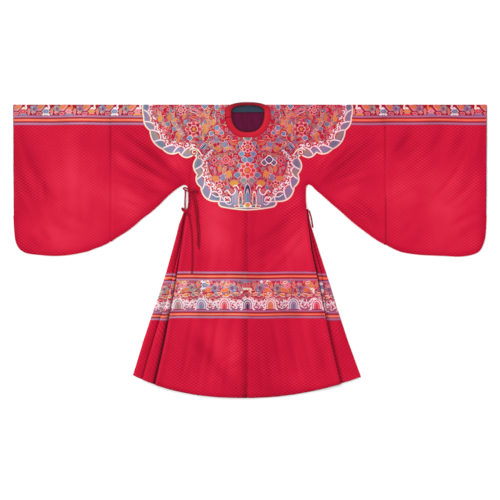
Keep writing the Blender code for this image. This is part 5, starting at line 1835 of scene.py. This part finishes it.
@dataclass
class SidePleats:
    """The side flap of a side, folded in two pleats that show beside the front."""

    side: Side
    figures: Figures
    row_step: float = 9.0
    band_step: float = 3.4
    band: tuple = (745.0, 980.0)
    band_out: float = 120.0  # how far out the band is taken from at the flap's hidden end
    hang: float = 9.0  # how much lower the band lies on the pleats
    turn_steps: int = 5
    panel_steps: int = 12
    arch: float = 5.0
    arch_share: float = 0.15
    groove: float = 16.0  # how wide the shade beside the outer pleat's inner fold is
    groove_share: float = 0.6  # at most this much of the pleat
    groove_shade: float = 0.62
    valley: float = 24.0  # and the shade beside the front
    valley_share: float = 0.75
    # painted shade over all of the pleats
    tone: float = 0.1
    top_tone: float = 0.3  # the pleats lie deeper in shade near the side seam
    top_fade: float = 320.0

    def row(self, drop: float) -> tuple:
        """The pleats at one height: how far in from the silhouette, height, and shade, upwards."""
        edge, outer, inner = (float(v) for v in self.side.pleat_row(drop))
        shown = outer + inner
        end = shown + float(tuck_at(drop))
        turn = PLEAT_PITCH / 2
        levels = [WALL / 2 + k * PLEAT_PITCH for k in range(PLEAT_LAYERS)]
        start = turn + WALL / 2
        uneven = 1 + 0.25 * math.sin(drop / 71) + 0.15 * math.sin(drop / 33 + 1)

        def bend(inward: float, low: float, way: int) -> list:
            """A half turn from one layer to the next."""
            angles = np.linspace(-math.pi / 2, math.pi / 2, self.turn_steps + 1)
            return [(inward + way * turn * math.cos(a), low + turn * (1 + math.sin(a)), 0.0)
                    for a in angles]

        def panel(first: float, last: float, level: float, dark: float, wide: float) -> list:
            """A face that shows, which swells behind its fold and sinks to the next one."""
            width = last - first
            rise = min(self.arch, self.arch_share * width) * uneven
            path = []
            for t in np.linspace(0, 1, self.panel_steps + 1)[1:]:
                lift = rise * math.sin(math.pi * t ** 0.7)
                shade = dark * float(ease(1 - (1 - t) * width / wide))
                path.append((first + t * width, level + lift, shade))
            return path

        return edge, [
            (end, levels[0], 0.5), (end * 0.5, levels[0], 0.3),
            *bend(start, levels[0], -1),
            *panel(start, outer, levels[1], self.groove_shade,
                   min(self.groove, self.groove_share * outer)),
            *bend(end - PLEAT_INNER, levels[1], 1),
            *bend(outer + start, levels[2], -1),
            *panel(outer + start, shown, levels[3], 1.0,
                   min(self.valley, self.valley_share * inner)),
            (end - PLEAT_INNER, levels[3], 1.0),
        ]

    def drops(self) -> list:
        """The heights of the rows, closer together across the band."""
        low, high = self.band
        last = HEM_DROP - self.side.hem.full - 30
        return [*spaced(PLEAT_TOP + 5, low, self.row_step)[:-1],
                *spaced(low, high, self.band_step)[:-1], *spaced(high, last, self.row_step)]

    def foot(self, drop: float) -> list:
        """The last row, which follows the hem."""
        foot = []
        for k in range(len(self.row(drop)[1])):
            level = drop
            for _ in range(SETTLING):
                edge, path = self.row(level)
                out = edge - path[k][0]
                level = float(self.side.hem_drop(out)) - PLEAT_HEM_UP
            foot.append((out, level, *path[k][1:]))
        return foot

    def build(self) -> bpy.types.Object:
        """Make the pleats."""
        grid = []
        for drop in self.drops():
            edge, path = self.row(drop)
            grid.append([(edge - s, drop, z, shade) for s, z, shade in path])
        last, foot = np.array(grid[-1]), np.array(self.foot(drop))
        grid = np.array([*grid, *(last + t * (foot - last) for t in (0.25, 0.5, 0.75, 0.96, 1.0))])
        out, drop, height, shade = np.moveaxis(grid, 2, 0)
        step = np.linalg.norm(np.diff(grid[:, :, [0, 2]], axis=1), axis=2)
        lengths = np.concatenate([np.zeros((len(grid), 1)), np.cumsum(step, axis=1)], axis=1)
        self.flat_width = float(lengths.max()) * MM
        self.area = float(np.trapz(lengths[:, -1], drop.mean(axis=1))) * MM**2
        spots = self.side.place(paired(out.ravel(), drop.ravel()))
        marks = paired(lengths.ravel(), drop.ravel())
        near_top = 1 - ease((drop - PLEAT_TOP) / self.top_fade)
        shades = np.clip(shade + self.tone + self.top_tone * near_top, 0, 1).ravel()
        cloth = Cloth(f"silk_pleats_{self.side.name}", self.side)
        cloth.add_points(np.column_stack([spots, height.ravel()]), marks, shades)
        cloth.add_quads(np.arange(len(marks)).reshape(drop.shape).tolist())
        middles = marks[np.array(cloth.faces)].mean(axis=1)
        threads = self.threads_at(paired(self.side.sign * (self.band_out + middles[:, 0]),
                                         middles[:, 1] - self.hang))
        # the strip at the hem is painted dark maroon, as painted shade along the edge
        threads[-(drop.shape[1] - 1):] = THREADS.index(T.MAROON)
        cloth.threads = threads.tolist()
        return cloth.build(DAMASK, WALL, centred=True)

    def threads_at(self, spots: np.ndarray) -> np.ndarray:
        """The thread of the uppermost figure at each place, or that it is ground."""
        threads = np.full(len(spots), GROUND)
        for patch in self.figures.patches:
            low, high = patch.outline.min(axis=0), patch.outline.max(axis=0)
            near = np.flatnonzero(((spots > low) & (spots < high)).all(axis=1))
            if len(near):
                threads[near[inside(spots[near], patch.outline)]] = THREADS.index(patch.thread)
        return threads


@dataclass
class Collar:
    """The collar band, which stands round the neck and is pressed flat, with a corded edge."""

    low: float = 3.4
    thick: float = 3.2
    stations: int = 144
    closure: float = 190.0  # where the band's ends meet, at the wearer's right, in degrees
    closure_width: float = 1.6
    closure_dip: float = 1.2
    width: float = 31.0
    length: float = 540.0

    def section(self, angle: float) -> list:
        """The band's section at an angle: place, height, shade, and how far across it is."""
        outer = np.array(ring_point(COLLAR_OUTER, angle))
        inner = np.array(ring_point(COLLAR_INNER, angle))
        gap = float(bell((math.degrees(angle) % 360 - self.closure) / self.closure_width))
        low, top = self.low, self.low + self.thick
        profile = (
            (0.0, low + 1.0, 0.3), (0.01, low + 2.0, 0.2), (0.04, low + 2.7, 0.1),
            (0.08, low + 2.3, 0.3), (0.11, low + 2.2, 0.35), (0.17, low + 2.7, 0.05),
            (0.30, top, 0.0), (0.50, top + 0.4, 0.0), (0.70, top, 0.0), (0.83, low + 2.7, 0.05),
            (0.88, low + 2.2, 0.5), (0.92, low + 2.5, 0.7), (0.97, low + 2.7, 0.8),
            (0.99, low + 1.9, 0.9), (1.0, low + 1.0, 0.9), (0.97, low, 0.6), (0.5, low, 0.6),
            (0.03, low, 0.6),
        )
        made = []
        for share, z, shade in profile:
            x, y = outer + share * (inner - outer)
            dip = self.closure_dip * gap if z > low + 1.5 else 0.0
            # painted shade: over the band's back, on its left side and in the closure's dip, on top of the
            # profile's painted shade at the piping and the inner rim
            over = 0.5 * max(0.0, math.sin(angle)) ** 4 * (share < 0.3)
            over += 0.7 * max(0.0, math.sin(angle)) ** 1.2 * (share > 0.14)
            aside = 0.12 * max(0.0, -math.cos(angle))
            made.append((x, y, z - dip, min(1.0, shade + 0.6 * gap + over + aside), share * self.width))
        return made

    def build(self) -> bpy.types.Object:
        """Make the collar."""
        cloth = Cloth("satin_collar_band", RIGHT)
        rings = []
        for k in range(self.stations):
            loop = np.array(self.section(2 * math.pi * k / self.stations))
            along = self.length * min(k, self.stations - k) / self.stations * 2
            marks = paired(np.full(len(loop), along), loop[:, 4])
            rings.append(cloth.add_points(loop[:, :3], marks, loop[:, 3]))
        cloth.add_quads(rings + rings[:1], around=True)
        return cloth.build(COLLAR_SATIN)


@dataclass
class NeckPatch:
    """A flat piece of silk on the inside of the back, which shows through the neck."""

    name: str
    finish: PlainSilk
    width: float
    top_y: float
    bottom_y: float
    seam: bool = False  # whether it has a seam down its middle
    pitch: float = 4.0
    crease: float = 0.35
    seam_width: float = 2.2
    ply_width: float = 3.0  # of the seam's folded side
    under_width: float = 4.0  # of the shade under the facing
    rim_width: float = 7.0  # of the shade under the collar

    def build(self) -> bpy.types.Object:
        """Make the patch, with soft creases and the shade of the collar over it."""
        cloth = Cloth(self.name, RIGHT)
        columns = spaced(COLLAR_X - self.width / 2, COLLAR_X + self.width / 2, self.pitch)
        rows = spaced(self.top_y, self.bottom_y, self.pitch)
        x, y = (a.ravel() for a in np.meshgrid(columns, rows))
        waves = self.crease * np.sin(x / 9 + 0.02 * y) ** 2 * np.sin(y / 31) ** 2
        height = WALL + GAP + THIN + waves
        shade = np.zeros(len(x))
        if self.seam:
            seam = bell((x - CENTRE_X) / self.seam_width)
            ply = bell((x - CENTRE_X - self.ply_width) / self.ply_width)
            height += self.crease * ply - 0.2 * seam
            under = bell((y - self.top_y) / self.under_width)
            # darker along the seam; painted shade under the facing's edge, and in soft streaks that stand
            # in for small folds
            shade = 0.55 * seam + 0.8 * under + 0.14 * (1 + np.sin(x / 6.5 + 0.8 * np.sin(y / 23)))
        ring = np.array([ring_point(COLLAR_INNER, a) for a in np.linspace(0, 2 * math.pi, 72)])
        spots = paired(x, y)
        near = np.linalg.norm(spots[:, None] - ring, axis=2).min(axis=1)
        near = np.where(inside(spots, ring), near, 0)
        shade = np.maximum(shade, 0.75 * np.exp(-near / self.rim_width))
        points = cloth.add_points(paired(x, y, height), spots, np.clip(shade, 0, 1))
        wide = len(columns)
        cloth.add_quads([points[i:i + wide] for i in range(0, len(points), wide)])
        return cloth.build(self.finish, THIN)


@dataclass
class Tie:
    """A tie's piece: sewn flat straps laid along paths on the cloth or beside the body.

    A path's points are out, drop, and the height over what lies under them where it isn't 0.
    """

    name: str
    side: Side
    paths: tuple
    ends: tuple = ()  # the heights of the first path's ends where it doesn't lie on the cloth
    knot: tuple = ()  # out, drop and radius of the knot
    width: float = 6.4
    thick: float = 2.6
    clear: float = 0.3
    step: float = 4.0
    corners: int = 10
    end_share: float = 0.72  # how wide and high its ends are
    edge_shade: float = 0.5
    top_shade: float = 0.1
    knot_corners: int = 12
    knot_rings: int = 9
    knot_half: float = 3.4

    def build(self, ground: Sequence[BVHTree]) -> bpy.types.Object:
        """Make the piece on the cloth whose search trees are given."""
        cloth = Cloth(f"silk_{self.name}", self.side)
        self.length = 0.0
        for path in self.paths:
            curve = smooth([(*p, 0.0)[:3] for p in path], self.step)
            run = run_of(curve)
            self.length += float(run[-1]) * MM
            left = across(curve[:, :2])
            if self.ends:
                lows = np.linspace(*self.ends, len(curve))
            else:
                spread = [curve[:, :2] + left * a * 0.5 * self.width for a in (-1, 0, 1)]
                lows = np.max([self.surface(ground, self.side.place(p)) for p in spread], axis=0)
                calm = np.convolve(np.pad(lows, 2, mode="edge"), np.ones(5) / 5, mode="valid")
                lows = np.maximum(lows, calm) + self.clear + curve[:, 2]
            self.sweep(cloth, curve[:, :2], left, lows, run)
        if self.knot:
            out, drop, radius = self.knot
            (spot,) = self.side.place(np.array([(out, drop)]))
            low = float(self.surface(ground, [spot])[0])
            self.tie_knot(cloth, spot, low, radius)
        return cloth.build(TIE_SILK)

    def surface(self, ground: Sequence[BVHTree], spots: Sequence) -> np.ndarray:
        """The highest of the surfaces at each place, in millimetres."""
        heights = []
        for x, y in spots:
            hits = [tree.ray_cast(Vector((x * MM, y * MM, 1.0)), Vector((0, 0, -1)))[0]
                    for tree in ground]
            heights.append(max([0.0, *(hit.z / MM for hit in hits if hit is not None)]))
        return np.array(heights)

    def sweep(self, cloth: Cloth, curve: np.ndarray, left: np.ndarray, lows: np.ndarray,
              run: np.ndarray) -> None:
        """Sweep the strap's rounded section along a curve, with closed ends."""
        rings = []
        for k, (place, way, low) in enumerate(zip(curve, left, lows)):
            end = self.end_share if k in (0, len(curve) - 1) else 1.0
            ring = []
            for j in range(self.corners):
                angle = 2 * math.pi * j / self.corners
                a = 0.5 * self.width * end * math.cos(angle)
                z = low + 0.5 * self.thick * (1 + end * math.sin(angle))
                (spot,) = self.side.place(np.array([place + way * a]))
                shade = self.edge_shade if abs(math.cos(angle)) > 0.6 else self.top_shade
                ring += cloth.add_points([(*spot, z)], [(run[k], a)], [shade])
            rings.append(ring)
        cloth.add_quads(rings, around=True)
        cloth.faces += [tuple(rings[0]), tuple(rings[-1])]
        cloth.threads += [GROUND, GROUND]

    def tie_knot(self, cloth: Cloth, spot: np.ndarray, low: float, radius: float) -> None:
        """Wrap the crossing in a small crossed knot."""
        rings = []
        for i in range(self.knot_rings):
            polar = math.pi * i / (self.knot_rings - 1)
            ring = []
            for j in range(self.knot_corners):
                angle = 2 * math.pi * j / self.knot_corners
                reach = radius * math.sin(polar) ** 0.8 * (1 + 0.12 * math.cos(2 * angle + 3 * polar))
                x, y = spot[0] + reach * math.cos(angle), spot[1] + 0.85 * reach * math.sin(angle)
                z = low + self.knot_half * (1 - math.cos(polar))
                # the knot's lower rings carry a little painted shade
                ring += cloth.add_points([(x, y, z)], [(x, y)], [0.15 * (i < 4)])
            rings.append(ring)
        cloth.add_quads(rings, around=True)


TIES = (
    Tie("upper_tie_bow", LEFT, (
        ((253, 389, 1.5), (268, 380, 0.6), (284, 374), (289, 378), (281, 385), (268, 389, 0.6),
         (254, 390, 1.5)),
        ((252, 388, 1.5), (240, 387, 0.6), (226, 390), (222, 395), (229, 398), (241, 395, 0.6),
         (252, 391, 1.5)),
    ), knot=(253, 389, 6.5)),
    Tie("upper_tie_tail_long", LEFT, ((
        (246, 394), (235, 420), (230, 443), (224, 480), (220.5, 529), (216, 569), (216, 610),
        (219, 652),
    ),)),
    Tie("upper_tie_tail_short", LEFT, ((
        (252, 397), (244, 428), (236.5, 460), (230, 500), (226.5, 545), (223.5, 592), (225, 638),
    ),)),
    Tie("lower_tie_bow", LEFT, (
        ((276, 483, 1.5), (284, 474, 0.6), (293, 466), (296, 470), (290, 478), (277, 484, 1.5)),
        ((275, 484, 1.5), (267, 489, 0.6), (259, 497), (262, 502), (270, 496), (276, 486, 1.5)),
    ), knot=(276, 483, 6.0)),
    Tie("lower_tie_tail", LEFT, ((
        (268, 492), (262, 508), (257, 532), (252, 565), (250, 596), (248, 650), (247.5, 704),
        (250, 763),
    ),)),
    Tie("side_tie_left", LEFT, ((
        (281, 384), (280, 400), (281, 425), (281.5, 448), (281, 470),
    ),), ends=(5.2, 4.4)),
    Tie("side_tie_right", RIGHT, ((
        (278, 477), (283.5, 496), (288.5, 516), (291.5, 536), (295, 555),
    ),), ends=(0.0, 0.0)),
)
TIE_FLAT = 0.010
KNOT_LENGTH = 0.03


@dataclass(frozen=True)
class Studio:
    """The floor, the camera straight above and the soft light from the upper left."""

    span: float = 2.25  # metres across the picture
    lens: float = 85.0
    sensor: float = 36.0
    softness: float = 75.0  # how wide the lights look from the table, in degrees
    lights: tuple = (("key", (-4.6, 3.8, 4.2), 2.4), ("fill", (3.6, -3.0, 4.0), 0.35))
    sky: float = 0.68
    floor_size: float = 14.0
    floor_z: float = -0.0004
    robe_z: float = 0.008

    def build(self) -> bpy.types.Object:
        """Make the floor, the camera and the lights; the floor comes back."""
        scene = bpy.context.scene
        scene.view_settings.view_transform = "Standard"
        bpy.ops.object.select_all(action="DESELECT")
        bpy.ops.mesh.primitive_plane_add(size=self.floor_size, location=(0, 0, self.floor_z))
        floor = bpy.context.object
        floor.name = "floor"
        floor.data.materials.append(PaleFloor().material())
        bpy.ops.object.transform_apply(location=True, rotation=True, scale=True)
        camera = bpy.data.objects.new("camera", bpy.data.cameras.new("camera"))
        scene.collection.objects.link(camera)
        camera.data.lens = self.lens
        camera.data.sensor_width = self.sensor
        camera.location = (0, 0, self.span * self.lens / self.sensor + self.robe_z)
        scene.camera = camera
        for name, place, power in self.lights:
            light = bpy.data.objects.new(name, bpy.data.lights.new(name, "SUN"))
            scene.collection.objects.link(light)
            light.data.angle = math.radians(self.softness)
            light.data.energy = power
            light.location = place
            light.rotation_euler = (-Vector(place)).to_track_quat("-Z", "Y").to_euler()
        scene.world = bpy.data.worlds.new("studio")
        scene.world.use_nodes = True
        back = scene.world.node_tree.nodes["Background"]
        feed(back, {"Color": (1.0, 1.0, 1.0, 1.0), "Strength": self.sky})
        return floor


def settle(piece: bpy.types.Object, node_name: str, slot: str, flat: tuple, area: float | None) -> None:
    """Hang a piece under the root, hide its CAD node, and log its faces and its flat area."""
    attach(piece, "root")
    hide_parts(node_name)
    LOG.info("%s: %d faces, %.3f m2 flat", piece.name, len(piece.data.polygons),
             area or flat[0] * flat[1])


def search_tree(piece: bpy.types.Object) -> BVHTree:
    """A search tree of a piece's faces."""
    mesh = piece.data
    return BVHTree.FromPolygons([v.co for v in mesh.vertices], [tuple(p.vertices) for p in mesh.polygons])


def main() -> None:
    """Build the robe piece by piece, then the studio."""
    logging.basicConfig(level=logging.INFO, format="%(message)s")
    figures = Figures()
    LOG.info("%d figures", len(figures.patches))
    panels = Panels(figures)
    left = panels.left_half()
    right = panels.right_half()
    closing = panels.closing_front()
    left_sleeve, right_sleeve = panels.sleeve(LEFT), panels.sleeve(RIGHT)
    for piece, name, flat, below in (
        (left, "body_left", (0.62, 2.64), "floor"),
        (right, "body_right", (0.63, 2.64), "floor"),
        (closing, "closing_front", (0.42, 1.28), left.name),
        (left_sleeve, "sleeve_left", (0.445, 1.365), "floor"),
        (right_sleeve, "sleeve_right", (0.46, 1.37), "floor"),
    ):
        settle(piece, name, "damask", flat, panels.areas[piece.name])
    for side in (LEFT, RIGHT):
        pleats = SidePleats(side, figures)
        piece = pleats.build()
        settle(piece, f"pleats_{side.name}", "damask", (pleats.flat_width, 0.86), pleats.area)
    collar = Collar()
    settle(collar.build(), "collar_band", "collar", (collar.width * MM, collar.length * MM), None)
    for patch, name, slot in (
        (NeckPatch("silk_neck_facing", FACING_SILK, 150.0, 650.6, 621.3), "neck_facing", "facing"),
        (NeckPatch("silk_back_lining", LINING_SILK, 196.0, 621.0, 508.0, True), "back_lining",
         "lining"),
    ):
        flat = (patch.width * MM, (patch.top_y - patch.bottom_y) * MM)
        settle(patch.build(), name, slot, flat, None)
    ground = [search_tree(piece) for piece in (closing, left)]
    for tie in TIES:
        piece = tie.build([] if tie.ends else ground)
        length = tie.length + (KNOT_LENGTH if tie.knot else 0.0)
        settle(piece, tie.name, "ties", (TIE_FLAT, length), None)
    Studio().build()


if __name__ == "__main__":
    main()
